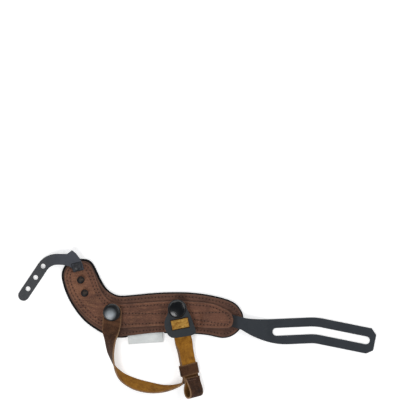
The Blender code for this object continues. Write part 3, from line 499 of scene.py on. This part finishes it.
# The slotted strap carries a painted shadow where it goes under the overlay.
SLOT_RUBBER = moulded_rubber("charcoal rubber", (0.020, 0.025, 0.032), (0.050, 0.056, 0.066), shadow_under_overlay=True)
SLIDER_RUBBER = moulded_rubber("slider rubber", (0.017, 0.021, 0.025), (0.048, 0.053, 0.058))
GLOSS_LACQUER = lacquer("gloss black lacquer", (0.003, 0.0035, 0.0045), (0.006, 0.007, 0.008),
                        (0.008, 0.009, 0.010), 0.14)
# The left cap's lacquer has a painted highlight in its middle.
HIGHLIT_LACQUER = lacquer("black lacquer with painted highlight", (0.004, 0.0045, 0.005), (0.008, 0.009, 0.010),
                       (0.36, 0.40, 0.43), 0.26)
OXIDISED = oxidised_metal()
STUD_METAL = stud_metal()
LINING = knitted_black()
LABEL_CLOTH = woven_label()
BROWN_THREAD = twisted_thread("brown waxed thread", (0.085, 0.038, 0.025), (0.17, 0.082, 0.050))
BLACK_THREAD = twisted_thread("black thread", (0.008, 0.008, 0.008), (0.03, 0.03, 0.03))


# Plan lines

def welded(node):
    shape = bmesh.new()
    shape.from_mesh(NODES[node].data)
    bmesh.ops.remove_doubles(shape, verts=shape.verts, dist=2e-6)
    shape.normal_update()
    return shape


def enclosed(loop):
    return sum(a.x * b.y - b.x * a.y for a, b in zip(loop, loop[1:] + loop[:1])) / 2


def cut_line(node):
    """The upper outer edge of a flat piece, counter-clockwise, seen from above.

    The walk starts and turns by place, so that it is the same walk each time.
    """
    def place(vert):
        return vert.co[:]

    shape = welded(node)
    beside = {}
    for edge in shape.edges:
        rises = [face.normal.z for face in edge.link_faces]
        if len(rises) == 2 and max(rises) > 0.6 and min(abs(z) for z in rises) < 0.3:
            a, b = edge.verts
            beside.setdefault(a, []).append(b)
            beside.setdefault(b, []).append(a)
    loops = []
    left = set(beside)
    while left:
        here = min(left, key=place)
        left.discard(here)
        loop = [here.co.xy]
        while True:
            onward = [v for v in beside[here] if v in left]
            if not onward:
                break
            here = min(onward, key=place)
            left.discard(here)
            loop.append(here.co.xy)
        loops.append(loop)
    shape.free()
    loop = max(loops, key=lambda points: abs(enclosed(points)))
    return loop if enclosed(loop) > 0 else loop[::-1]


def evenly(line, pitch, closed=False):
    """Points at one spacing along a line or a closed loop."""
    ends = line + line[:1] if closed else line
    length = sum((b - a).length for a, b in zip(ends, ends[1:]))
    count = max(round(length / pitch), 1)
    step, made, due = length / count, [], 0.0
    for a, b in zip(ends, ends[1:]):
        run = (b - a).length
        while due <= run and run > 0:
            made.append(a.lerp(b, due / run))
            due += step
        due -= run
    wanted = count if closed else count + 1
    if len(made) < wanted:
        made.append(ends[-1].copy())
    return made[:wanted]


def relaxed(loop, times=4):
    for _ in range(times):
        loop = [(a + 2 * b + c) / 4 for a, b, c in zip(loop[-1:] + loop[:-1], loop, loop[1:] + loop[:1])]
    return loop


def inwards(loop, distance):
    """A counter-clockwise loop moved in by a distance, which can differ from point to point."""
    made = []
    for before, here, after in zip(loop[-1:] + loop[:-1], loop, loop[1:] + loop[:1]):
        along = (after - before).normalized()
        reach = distance(here) if callable(distance) else distance
        made.append(here + reach * Vector((-along.y, along.x)))
    return made


def inside(point, loop):
    held = False
    for a, b in zip(loop, loop[1:] + loop[:1]):
        if (a.y > point.y) != (b.y > point.y):
            if point.x < a.x + (point.y - a.y) * (b.x - a.x) / (b.y - a.y):
                held = not held
    return held


def nearness(points):
    tree = KDTree(max(len(points), 1))
    for i, p in enumerate(points):
        tree.insert((p.x, p.y, 0.0), i)
    if not points:
        tree.insert((9.0, 9.0, 9.0), 0)
    tree.balance()
    return lambda p: tree.find((p.x, p.y, 0.0))[2]


def runs_where(points, wanted):
    """The stretches of a closed loop whose points are wanted."""
    keep = [wanted(p) for p in points]
    if all(keep):
        return [points + points[:1]]
    first = keep.index(False)
    runs, run = [], []
    for i in range(len(points)):
        at = (first + i) % len(points)
        if keep[at]:
            run.append(points[at])
        elif run:
            runs.append(run)
            run = []
    if run:
        runs.append(run)
    return [r for r in runs if len(r) > 4]


def smooth(t):
    t = min(max(t, 0.0), 1.0)
    return t * t * (3 - 2 * t)


def bell(distance, width, power=2):
    """One at no distance, fading out beyond the width."""
    return math.exp(-((distance / width) ** power))


def rim_showing(point):
    """How much more of the black padding shows: round the left lobe, and at the label's seam."""
    lobe = smooth((-point.x / MM - 28) / 14)
    seam = bell(point.x / MM + 20, 7) if point.y < -8 * MM else 0.0
    return max(0.45 * lobe, 0.6 * seam, 0.25) * MM


def tongue_trim(point):
    """The overlay's tongue: its upper corner is cut back, and its tip reaches a little further out."""
    corner = bell((point - Vector((67.0, 8.6)) * MM).length, 7.5 * MM)
    tip = bell((point - Vector((73.0, -3.5)) * MM).length, 5.0 * MM)
    return (2.1 * corner - 0.8 * tip) * MM


def outline(node):
    return relaxed(evenly(cut_line(node), EDGE_PITCH, True))


PAD_EDGE = outline("pad")
BASE_EDGE = inwards(outline("base_leather"), rim_showing)
OVERLAY_EDGE = relaxed(inwards(outline("overlay_leather"), tongue_trim), 3)


def clear_of_metal(point):
    return ((point - LEFT_SNAP).length > 6.2 * MM and (point - RIGHT_SNAP).length > 6.2 * MM
            and all((point - stud).length > 2.6 * MM for stud in STUDS))


def overlay_rows():
    """The overlay's rows: round its edge, again round the studs, along its middle and over the tongue."""
    edge_row = relaxed(inwards(OVERLAY_EDGE, lambda p: (2.0 + smooth((p.x / MM + 50) / 15)) * MM), 10)
    inner_row = relaxed(inwards(OVERLAY_EDGE, 4.9 * MM), 14)
    rows = runs_where(edge_row, clear_of_metal)
    rows += runs_where(inner_row, lambda p: p.x < -39.5 * MM and clear_of_metal(p))
    middle = [(-24.0, 2.4), (-12.0, 2.3), (0.0, 2.1), (11.0, 2.0), (16.5, 2.2)]
    beyond = [(31.5, 3.0), (40.7, 2.5), (50.0, 2.9), (58.0, 3.4), (64.0, 3.2)]
    tongue = [(36.0, -2.6), (44.0, -3.6), (52.0, -4.9), (60.0, -6.3), (66.0, -6.9)]
    return rows + [evenly([Vector(p) * MM for p in row], EDGE_PITCH) for row in (middle, beyond, tongue)]


def base_rows():
    row = relaxed(inwards(BASE_EDGE, 2.7 * MM), 8)
    from_overlay = nearness(OVERLAY_EDGE)
    return runs_where(row, lambda p: not inside(p, OVERLAY_EDGE) and from_overlay(p) > 0.9 * MM)


OVERLAY_ROWS = overlay_rows()
BASE_ROWS = base_rows()


def needle_points(rows):
    return [evenly(row, STITCH_PITCH) for row in rows]


def all_needles(rows):
    return [p for row in needle_points(rows) for p in row]


# Cut sheets

def sheet_points(edge, rows, pitch, wanted=None):
    """Plan points inside an edge: a grid, closer lines along the stitches, and a ring at each needle hole."""
    close = []
    for row in rows:
        fine = evenly(row, 0.75 * MM)
        for i, here in enumerate(fine):
            along = (fine[min(i + 1, len(fine) - 1)] - fine[max(i - 1, 0)]).normalized()
            side = Vector((-along.y, along.x))
            close += [here + side * offset * MM for offset in (-1.5, -0.95, 0.95, 1.5)]
    for hole in all_needles(rows):
        close.append(hole)
        for radius, count in ((0.3 * MM, 6), (NEEDLE_RADIUS, 8)):
            for i in range(count):
                angle = 2 * math.pi * i / count
                close.append(hole + radius * Vector((math.cos(angle), math.sin(angle))))
    from_edge = nearness(edge)
    kept, taken = [], set()
    low = Vector((min(p.x for p in edge), min(p.y for p in edge)))
    high = Vector((max(p.x for p in edge), max(p.y for p in edge)))
    grid = []
    row_count = int((high.y - low.y) / (pitch * 0.866)) + 1
    for j in range(row_count):
        y = low.y + j * pitch * 0.866
        x = low.x + (pitch / 2 if j % 2 else 0.0)
        while x < high.x:
            grid.append(Vector((x, y)))
            x += pitch
    from_close = nearness(close)
    for point in close:
        cell = (round(point.x / (0.16 * MM)), round(point.y / (0.16 * MM)))
        if cell not in taken and from_edge(point) > 0.35 * MM and inside(point, edge):
            taken.add(cell)
            kept.append(point)
    for point in grid:
        far_off = from_close(point) > 0.6 * MM and from_edge(point) > 0.6 * MM
        if far_off and inside(point, edge) and (wanted is None or wanted(point)):
            kept.append(point)
    return kept


def filled(loop, points):
    """Triangles that fill a loop and pass through the points.

    Gives the plan points, the triangles, and the loop's numbers among the points.
    """
    given = [p / MM for p in loop + points]
    found = geometry.delaunay_2d_cdt(given, [], [list(range(len(loop)))], 1, 1e-5)
    number = {}
    for made, sources in enumerate(found[3]):
        for source in sources:
            if source < len(loop):
                number[source] = made
    return [p * MM for p in found[0]], found[2], [number[i] for i in range(len(loop))]


def ring_inside(edge, back):
    """A ring moved in from an edge. Points that would cross over at a tight corner are drawn level."""
    ring, count = inwards(edge, back), len(edge)
    for _ in range(40):
        crossed = [i for i in range(count)
                   if (ring[(i + 1) % count] - ring[i]).dot(edge[(i + 1) % count] - edge[i]) <= 0]
        if not crossed:
            break
        for i in crossed:
            for at in (i, (i + 1) % count):
                ring[at] = (ring[at - 1] + ring[(at + 1) % count]) / 2
    return ring


def cut_sheet(name, edge, top, low, radius, top_points, low_points, looks):
    """A sheet with rounded edges between two heights, which are functions of a plan point.

    Its looks are for the top, the cut edge and the underside.
    """
    shape = bmesh.new()
    rim = []
    turns = [math.radians(turn) for turn in (0, 30, 60, 90)]
    for turn, surface, way in [(t, top, -1) for t in turns] + [(t, low, 1) for t in reversed(turns)]:
        back, rise = radius * (1 - math.sin(turn)), radius * (1 - math.cos(turn))
        rim.append([shape.verts.new((p.x, p.y, surface(p) + way * rise)) for p in ring_inside(edge, back)])
    count = len(edge)
    for upper, lower in zip(rim, rim[1:]):
        for i in range(count):
            face = shape.faces.new((upper[i], lower[i], lower[(i + 1) % count], upper[(i + 1) % count]))
            face.material_index = 1
    for ring, points, height, flip in ((rim[0], top_points, top, False), (rim[-1], low_points, low, True)):
        places, triangles, numbers = filled([Vector(v.co.xy) for v in ring], points)
        verts = {number: ring[i] for i, number in enumerate(numbers)}
        for number, p in enumerate(places):
            if number not in verts:
                verts[number] = shape.verts.new((p.x, p.y, height(p)))
        for triangle in triangles:
            corners = [verts[i] for i in triangle]
            if len(set(corners)) == 3:
                face = shape.faces.new(corners[::-1] if flip else corners)
                face.material_index = 2 if flip else 0
    bmesh.ops.recalc_face_normals(shape, faces=shape.faces)
    return finished(name, shape, looks)


def shown(name, mesh, looks):
    made = bpy.data.objects.new(name, mesh)
    bpy.context.scene.collection.objects.link(made)
    for look in looks:
        mesh.materials.append(look)
    return made


def finished(name, shape, looks):
    """The smoothly shaded piece that a worked shape becomes."""
    mesh = bpy.data.meshes.new(name)
    shape.to_mesh(mesh)
    shape.free()
    mesh.shade_smooth()
    return shown(name, mesh, looks)


def carry(piece, attribute, value):
    """Stores a number at each point of the piece's mesh, from its place."""
    layer = piece.data.attributes.new(attribute, "FLOAT", "POINT")
    layer.data.foreach_set("value", [float(value(v.co)) for v in piece.data.vertices])


def settle(piece, body, slot, *nodes):
    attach(piece, body)
    if nodes:
        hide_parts(*nodes)


def surface_of(node):
    shape = welded(node)
    tree = BVHTree.FromBMesh(shape)
    shape.free()
    return tree


def top_of(node):
    """The height of a node's top at a plan point, by looking down on it."""
    tree = surface_of(node)

    def height(point):
        hit = tree.ray_cast(Vector((point.x, point.y, 0.05)), Vector((0, 0, -1)))[0]
        if hit is None:
            hit = tree.find_nearest(Vector((point.x, point.y, 0.01)))[0]
        return hit.z
    return height


def sewn_surface(flat, rows, edge, swell):
    """The height of leather that is drawn down along its stitches and at each needle hole."""
    from_row = nearness([p for row in rows for p in evenly(row, 0.4 * MM)])
    from_hole = nearness(all_needles(rows))
    from_edge = nearness(edge)

    def height(point):
        groove = bell(from_row(point), 1.0 * MM)
        hole = bell(from_hole(point), 0.5 * MM, 4)
        broad = noise.noise(Vector((point.x * 55, point.y * 55, 0.3)))
        fine = noise.noise(Vector((point.x * 210, point.y * 210, 4.3)))
        at_edge = math.exp(-from_edge(point) / (1.1 * MM))
        change = -0.10 * groove - 0.60 * hole - 0.12 * at_edge + swell * (0.16 * broad + 0.05 * fine)
        return flat(point) + min(change, 0.16) * MM
    return height


def sewn_marks(piece, rows, edge, top, reach):
    """Marks the needle holes and the rubbed edge for the piece's material."""
    from_hole = nearness(all_needles(rows))
    from_edge = nearness(edge)
    carry(piece, "needle", lambda co: bell(from_hole(co), 0.58 * MM, 4) if co.z > top else 0.0)
    carry(piece, "rubbing", lambda co: bell(from_edge(co), reach * MM))
    carry(piece, "worn", worn_by_hand)


def worn_by_hand(place):
    """How much handling has lightened the leather: most beside the studs, and some along the middle."""
    plan = place.xy
    studs = bell((plan - Vector((-0.0670, 0.0265))).length, 0.011)
    lobe = bell((plan - Vector((-0.055, 0.020))).length, 0.022)
    middle = bell((plan - Vector((-0.005, 0.002))).length, 0.030)
    return min(studs + 0.45 * lobe + 0.25 * middle, 1.0)


def make_overlay():
    flat = top_of("overlay_leather")
    height = sewn_surface(flat, OVERLAY_ROWS, OVERLAY_EDGE, 1.0)
    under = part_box("overlay_leather")[0].z
    points = sheet_points(OVERLAY_EDGE, OVERLAY_ROWS, 1.3 * MM)
    piece = cut_sheet("overlay_hide", OVERLAY_EDGE, height, lambda p: flat(p) - HIDE_THICK, 0.42 * MM,
                      points, sheet_points(OVERLAY_EDGE, [], 2.5 * MM), [TOP_HIDE, DARK_EDGE, SUEDE])
    sewn_marks(piece, OVERLAY_ROWS, OVERLAY_EDGE, under + 0.5 * MM, 0.6)
    settle(piece, "pad", "leather", "overlay_leather")
    return height


def make_base():
    low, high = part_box("base_leather")
    from_overlay = nearness(OVERLAY_EDGE)
    height = sewn_surface(lambda p: high.z, BASE_ROWS, BASE_EDGE, 0.8)
    points = sheet_points(BASE_EDGE, BASE_ROWS, 1.3 * MM,
                          lambda p: not inside(p, OVERLAY_EDGE) or from_overlay(p) < 2.0 * MM)
    piece = cut_sheet("base_hide", BASE_EDGE, height, lambda p: low.z, 0.4 * MM, points, [],
                      [BASE_HIDE, DARK_EDGE, SUEDE])
    sewn_marks(piece, BASE_ROWS, BASE_EDGE, low.z + 0.5 * MM, 0.45)
    settle(piece, "pad", "leather", "base_leather")
    return height


def make_padding():
    """The padding, rounded at its rim and drawn up along its seam underneath."""
    low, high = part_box("pad")
    seam = relaxed(inwards(PAD_EDGE, 3.6 * MM), 10)
    from_seam = nearness(seam)
    from_edge = nearness(PAD_EDGE)

    def underside(point):
        drawn = 0.55 * bell(from_seam(point), 1.5 * MM)
        wander = 0.12 * (noise.noise(Vector((point.x * 70, point.y * 70, 9.0))) + 1)
        flank = smooth(from_edge(point) / (4 * MM))
        return low.z + (drawn + wander * flank) * MM

    points = sheet_points(PAD_EDGE, [], 1.6 * MM)
    piece = cut_sheet("padding", PAD_EDGE, lambda p: high.z, underside, 1.75 * MM, [], points,
                      [LINING, LINING, LINING])
    settle(piece, "pad", "padding", "pad")
    return seam, underside


# Stitches

def thread_piece(name, stitches, look, body, slot):
    """Many stitches as one piece. Each is a line of points in space."""
    shape = bmesh.new()
    sides = 6
    for line in stitches:
        rings = []
        for i, here in enumerate(line):
            along = (line[min(i + 1, len(line) - 1)] - line[max(i - 1, 0)]).normalized()
            side = along.cross(Vector((0, 0, 1))).normalized()
            up = side.cross(along)
            share = i / (len(line) - 1)
            thick = THREAD_RADIUS * (0.72 + 0.28 * math.sin(math.pi * share))
            rings.append([
                shape.verts.new(here + thick * (math.cos(a) * side + math.sin(a) * up))
                for a in (2 * math.pi * k / sides for k in range(sides))
            ])
        for first, second in zip(rings, rings[1:]):
            for k in range(sides):
                shape.faces.new((first[k], first[(k + 1) % sides], second[(k + 1) % sides], second[k]))
        shape.faces.new(rings[0][::-1])
        shape.faces.new(rings[-1])
    bmesh.ops.recalc_face_normals(shape, faces=shape.faces)
    settle(finished(name, shape, [look]), body, slot)


def lockstitches(rows, height):
    """A stitch from each needle hole to the next, with both ends going down into the holes."""
    deep, proud = 0.45, 0.02
    made = []
    for row in needle_points(rows):
        for a, b in zip(row, row[1:]):
            line = []
            for share in (0.10, 0.17, 0.29, 0.5, 0.71, 0.83, 0.90):
                at = a.lerp(b, share)
                arch = math.sin(math.pi * share) ** 0.5
                z = height(a.lerp(b, 0.5)) + (-deep + (deep + proud) * arch) * MM
                line.append(Vector((at.x, at.y, z)))
            made.append(line)
    return made


def seam_underneath(seam, underside):
    """The same seam from below, in black thread that lies in the drawn-up channel."""
    made = []
    points = evenly(seam, STITCH_PITCH, True)
    for a, b in zip(points, points[1:] + points[:1]):
        line = []
        for share in (0.1, 0.25, 0.5, 0.75, 0.9):
            at = a.lerp(b, share)
            sunk = 0.35 * (1 - math.sin(math.pi * share)) - 0.02
            line.append(Vector((at.x, at.y, underside(a.lerp(b, 0.5)) + sunk * MM)))
        made.append(line)
    return made


# Strap, keeper, rubber and label

def sides_of(shape, crease):
    """Faces gathered into smooth sides, split where the surface turns by more than the crease angle."""
    left, sides = set(shape.faces), []
    while left:
        first = left.pop()
        side, due = {first}, [first]
        while due:
            face = due.pop()
            for edge in face.edges:
                if len(edge.link_faces) == 2 and edge.calc_face_angle(0.0) < crease:
                    for other in edge.link_faces:
                        if other in left:
                            left.discard(other)
                            side.add(other)
                            due.append(other)
        sides.append(side)
    return sorted(sides, key=lambda s: -sum(f.calc_area() for f in s))


def soft_copy(name, node, crease, round_by, looks, pick):
    """A CAD strap as supple leather: quads again, rounded at its cut edges and smoothed."""
    shape = welded(node)
    bmesh.ops.join_triangles(
        shape, faces=shape.faces[:], angle_face_threshold=math.radians(35),
        angle_shape_threshold=math.radians(50),
    )
    pick(sides_of(shape, crease))
    sharp = [e for e in shape.edges if len(e.link_faces) == 2 and e.calc_face_angle(0.0) > crease]
    cut = [p for e in sharp for p in between(e.verts[0].co, e.verts[1].co, 0.4 * MM)]
    bmesh.ops.bevel(shape, geom=sharp, offset=round_by, segments=2, profile=0.6, affect="EDGES",
                    clamp_overlap=True, material=-1)
    made = finished(name, shape, looks)
    smoother = made.modifiers.new("supple", "SUBSURF")
    smoother.levels = smoother.render_levels = 2
    bpy.context.view_layer.update()
    supple = bpy.data.meshes.new_from_object(made.evaluated_get(bpy.context.evaluated_depsgraph_get()))
    made.modifiers.clear()
    made.data = supple
    tree = KDTree(len(cut))
    for i, p in enumerate(cut):
        tree.insert(p, i)
    tree.balance()
    carry(made, "rubbing", lambda co: bell(tree.find(co)[2], 0.55 * MM))
    return made


def between(a, b, pitch):
    count = max(math.ceil((b - a).length / pitch), 1)
    return [a.lerp(b, i / count) for i in range(count + 1)]


def dress_sides(sides):
    """The first side gets the first look, the second the second, and every cut edge the third."""
    for index, side in enumerate(sides):
        for face in side:
            face.material_index = min(index, 2)


def make_strap():
    def pick(sides):
        smooth_side, suede_side = sides[0], sides[1]
        near_cap = [f for f in sides[0] if (f.calc_center_median().xy - LEFT_SNAP).length < 16 * MM]
        if sum(f.normal.z for f in near_cap) < 0:
            smooth_side, suede_side = suede_side, smooth_side
        dress_sides([smooth_side, suede_side, *sides[2:]])

    piece = soft_copy("wrist_strap_hide", "wrist_strap", math.radians(68), 0.28 * MM,
                      [STRAP_HIDE, SUEDE, RAW_EDGE], pick)
    for vert in piece.data.vertices:
        beside, along = (vert.co.x - LEFT_SNAP.x) / MM, (vert.co.y - LEFT_SNAP.y) / MM
        if beside < 14:
            vert.co.x += 1.0 * MM * smooth((beside - 1.0) / 6) * smooth((along + 20) / 12)
    # The bar's suede is painted lighter: partly painted light, partly sheltered from wear.
    bar = RIGHT_SNAP + LEG_DOWN * 14.0 * MM
    carry(piece, "lit_and_sheltered", lambda co: bell((co.xy - bar).length, 9.0 * MM, 4))
    carry(piece, "worn", lambda co: bell((co.xy - LEFT_SNAP).length, 17.0 * MM))
    # Painted shade on the suede, round the gap and in the fold's opening.
    gap = Vector((37.1, -52.4)) * MM
    fold = Vector((33.3, -67.6)) * MM
    carry(piece, "painted_shade", lambda co: max(bell((co.xy - gap).length, 7.5 * MM, 6),
                                           0.8 * bell((co.xy - fold).length, 4.6 * MM, 4)))
    settle(piece, "wrist_strap", "leather", "wrist_strap")


def make_keeper():
    piece = soft_copy("keeper_band", "keeper", math.radians(50), 0.2 * MM,
                      [KEEPER_HIDE, SUEDE, RAW_EDGE], dress_sides)
    settle(piece, "keeper", "leather", "keeper")


def rounded_plate(name, node, round_by, look, body, slot):
    """A moulded piece with its edges rounded, in the shape of its CAD solid."""
    shape = welded(node)
    bmesh.ops.dissolve_limit(shape, angle_limit=math.radians(1.0), verts=shape.verts[:], edges=shape.edges[:])
    sharp = [e for e in shape.edges if len(e.link_faces) == 2 and e.calc_face_angle(0.0) > math.radians(50)]
    bmesh.ops.bevel(shape, geom=sharp, offset=round_by, segments=3, profile=0.5, affect="EDGES",
                    clamp_overlap=True)
    bmesh.ops.triangulate(shape, faces=[f for f in shape.faces if len(f.verts) > 4])
    made = finished(name, shape, [look])
    even = made.modifiers.new("even shading", "WEIGHTED_NORMAL")
    even.keep_sharp = True
    settle(made, body, slot, node)


def fold_stitches():
    """The row that closes the folded end, across the strap just above its opening."""
    tree = surface_of("wrist_strap")
    places = []
    for i in range(6):
        across = (-3.6 + i * 1.7) * MM
        plan = RIGHT_SNAP + LEG_DOWN * 63.6 * MM + LEG_RIGHT * across
        hit, normal = tree.ray_cast(Vector((plan.x, plan.y, 0.05)), Vector((0, 0, -1)))[:2]
        if hit is not None:
            places.append((hit, normal))
    made = []
    for (a, up_a), (b, up_b) in zip(places, places[1:]):
        line = []
        for share in (0.05, 0.2, 0.5, 0.8, 0.95):
            lift = (-0.3 + 0.42 * math.sin(math.pi * share) ** 0.5) * MM
            line.append(a.lerp(b, share) + up_a.lerp(up_b, share).normalized() * lift)
        made.append(line)
    return made


def make_label():
    """The woven label: a thin sheet that leaves the seam and droops a little."""
    low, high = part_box("label")
    centre = Vector((-4.1, -16.3)) * MM
    along = Vector((math.cos(LABEL_TURN), math.sin(LABEL_TURN)))
    up = Vector((-along.y, along.x))
    shape = bmesh.new()
    columns, rows = 40, 20
    width, depth = 30.8, 12.4
    grid = []
    for j in range(rows + 1):
        v = 4.6 - depth * j / rows
        line = []
        for i in range(columns + 1):
            u = -width / 2 + width * i / columns
            out = smooth((-v - 1.2) / 7.0)
            wave = 0.28 * math.sin(u * 0.42 + 0.8) * out + 0.12 * math.sin(u * 1.1 + 2.0) * out
            place = centre + along * u * MM + up * v * MM
            height = (low.z + high.z) / 2 + (-1.5 * out + wave) * MM
            line.append(shape.verts.new((place.x, place.y, height)))
        grid.append(line)
    for j in range(rows):
        for i in range(columns):
            shape.faces.new((grid[j][i], grid[j + 1][i], grid[j + 1][i + 1], grid[j][i + 1]))
    made = finished("seam_label", shape, [LABEL_CLOTH])
    cloth = made.modifiers.new("cloth", "SOLIDIFY")
    cloth.thickness = 0.45 * MM
    cloth.offset = 0.0
    settle(made, "pad", "label", "label")


# Metal

def turned(name, centre, profile, look, body, node, steps):
    """A turned piece from radius and height pairs, down the outside from top to bottom."""
    mesh = bpy.data.meshes.new(name)
    mesh.from_pydata([(r, 0.0, z) for r, z in profile], [(i, i + 1) for i in range(len(profile) - 1)], [])
    made = shown(name, mesh, [look])
    made.location = (centre.x, centre.y, 0.0)
    spin = made.modifiers.new("turn", "SCREW")
    spin.steps = spin.render_steps = steps
    spin.use_merge_vertices = True
    spin.merge_threshold = 0.00001
    spin.use_smooth_shade = True
    settle(made, body, "black_metal", node)


def cap_profile(top):
    """A press stud's cap: a shallow dome, a steep shoulder and a rolled rim."""
    shoulder = CAP_RADIUS - 1.0 * MM
    dome = [(shoulder * k / 12, top - 0.80 * MM * (k / 12) ** 2) for k in range(1, 13)]
    fall = [(0.18, 0.90), (0.33, 1.05), (0.48, 1.24), (0.63, 1.45), (0.78, 1.67), (0.92, 1.90), (1.0, 2.06)]
    steep = [(shoulder + out * MM, top - drop * MM) for out, drop in fall]
    foot = top - 2.4 * MM
    return [(0.0, top), *dome, *steep, (CAP_RADIUS, foot + 0.22 * MM),
            (CAP_RADIUS - 0.18 * MM, foot + 0.04 * MM), (CAP_RADIUS - 0.5 * MM, foot), (0.0, foot)]


def make_caps():
    for side, centre, look in (("left", LEFT_SNAP, HIGHLIT_LACQUER), ("right", RIGHT_SNAP, GLOSS_LACQUER)):
        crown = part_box(f"{side}_snap_cap")[1].z
        turned(f"{side}_dome", centre, cap_profile(crown), look, "wrist_strap", f"{side}_snap_cap", 96)


def make_mushrooms():
    names = ("anchor_stud", "upper_stud", "lower_stud")
    for name, centre in zip(names, STUDS):
        low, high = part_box(name)
        top, foot = high.z, low.z
        dome = [(STUD_RADIUS * math.sin(a), top - 1.25 * MM * (1 - math.cos(a)))
                for a in (math.pi / 2 * k / 9 for k in range(1, 9))]
        under = top - 1.8 * MM
        profile = [(0.0, top), *dome, (STUD_RADIUS, under + 0.4 * MM), (3.2 * MM, under + 0.1 * MM),
                   (2.9 * MM, under), (1.7 * MM, under), (1.5 * MM, under - 0.2 * MM),
                   (1.5 * MM, foot + 0.3 * MM), (1.9 * MM, foot), (0.0, foot)]
        look = OXIDISED if name == "anchor_stud" else STUD_METAL
        turned(name + "_head", centre, profile, look, "pad", name, 64)


def dress_hidden_metal():
    """The parts of the fastenings that only show from the side keep their CAD shape."""
    for name, node in NODES.items():
        if name.endswith(("_back", "_socket", "_snap_stud", "_post")):
            node.data.materials.clear()
            node.data.materials.append(OXIDISED)


# Studio

def make_studio():
    mesh = bpy.data.meshes.new("studio_floor")
    shape = bmesh.new()
    bmesh.ops.create_grid(shape, x_segments=1, y_segments=1, size=15.0)
    shape.to_mesh(mesh)
    shape.free()
    made, tree, shader, where = fresh("pale studio floor")
    paper = cloud(tree, where, 40.0, 4.0)
    feed(tree, shader.inputs["Base Color"], blend(tree, paper, (0.86, 0.86, 0.86), (0.9, 0.9, 0.9)))
    steady(shader, {"Roughness": 1.0, "Specular IOR Level": 0.0})
    lift = put(tree, "ShaderNodeEmission", {"Color": (1.0, 1.0, 1.0), "Strength": 0.42})
    seen = put(tree, "ShaderNodeLightPath")
    shows = sums(tree, "MAXIMUM", seen.outputs["Is Camera Ray"], seen.outputs["Is Glossy Ray"])
    added = put(tree, "ShaderNodeAddShader", {0: shader.outputs[0], 1: lift.outputs[0]})
    chosen = put(tree, "ShaderNodeMixShader", {0: shows, 1: shader.outputs[0], 2: added.outputs[0]})
    below = put(tree, "ShaderNodeNewGeometry").outputs["Backfacing"]
    clear = tree.nodes.new("ShaderNodeBsdfTransparent")
    sided = put(tree, "ShaderNodeMixShader", {0: below, 1: chosen.outputs[0], 2: clear.outputs[0]})
    tree.links.new(sided.outputs[0], tree.nodes["Material Output"].inputs["Surface"])
    floor = shown("studio_floor", mesh, [made])
    floor.location.z = CAD_BOX[0].z - 0.1 * MM

    world = bpy.data.worlds.new("studio")
    bpy.context.scene.world = world
    world.use_nodes = True
    tree = world.node_tree
    ground = tree.nodes["Background"]
    way = tree.nodes.new("ShaderNodeTexCoord").outputs["Generated"]
    overhead = remap(tree, axes(tree, way)[2], 0.35, 0.95)
    feed(tree, ground.inputs["Color"], blend(tree, overhead, (0.98, 0.99, 1.0), (0.10, 0.105, 0.115)))
    ground.inputs["Strength"].default_value = 0.8

    lamps = (
        ("key_lamp", (-0.40, -0.62, 1.30), 0.62, 9.5),
        ("fill_lamp", (0.80, 0.30, 1.10), 0.7, 4.0),
        ("back_lamp", (-0.2, 0.9, 0.9), 0.6, 2.5),
    )
    aim = Vector((0.02, 0.0, 0.0))
    for name, at, size, power in lamps:
        data = bpy.data.lights.new(name, "AREA")
        data.shape = "DISK"
        data.size = size
        data.energy = power
        lamp = bpy.data.objects.new(name, data)
        lamp.location = at
        lamp.rotation_euler = (aim - Vector(at)).to_track_quat("-Z", "Y").to_euler()
        bpy.context.scene.collection.objects.link(lamp)

    bpy.context.scene.view_settings.view_transform = "Standard"


def make_camera():
    """Straight above, from far off, with the pad low in the picture."""
    pixel, across = 0.88 * MM, 400
    origin = (150, 316)
    data = bpy.data.cameras.new("above")
    data.lens = 250.0
    data.sensor_width = 36.0
    camera = bpy.data.objects.new("above", data)
    camera.location = ((across / 2 - origin[0]) * pixel, (origin[1] - across / 2) * pixel,
                       0.006 + across * pixel * data.lens / data.sensor_width)
    data.clip_end = 50.0
    bpy.context.scene.collection.objects.link(camera)
    bpy.context.scene.camera = camera


overlay_height = make_overlay()
base_height = make_base()
pad_seam, pad_underside = make_padding()
thread_piece("overlay_stitches", lockstitches(OVERLAY_ROWS, overlay_height), BROWN_THREAD, "pad", "leather")
thread_piece("edge_stitches", lockstitches(BASE_ROWS, base_height), BROWN_THREAD, "pad", "leather")
thread_piece("seam_underneath", seam_underneath(pad_seam, pad_underside), BLACK_THREAD, "pad", "padding")
make_strap()
thread_piece("fold_stitches", fold_stitches(), BROWN_THREAD, "wrist_strap", "leather")
make_keeper()
rounded_plate("perforated_rubber", "perforated_strap", 0.3 * MM, HOLED_RUBBER, "pad", "rubber")
rounded_plate("slotted_rubber", "slotted_strap", 0.3 * MM, SLOT_RUBBER, "pad", "rubber")
rounded_plate("slider_tab", "slider", 0.3 * MM, SLIDER_RUBBER, "wrist_strap", "rubber")
make_label()
make_caps()
make_mushrooms()
dress_hidden_metal()
make_studio()
make_camera()
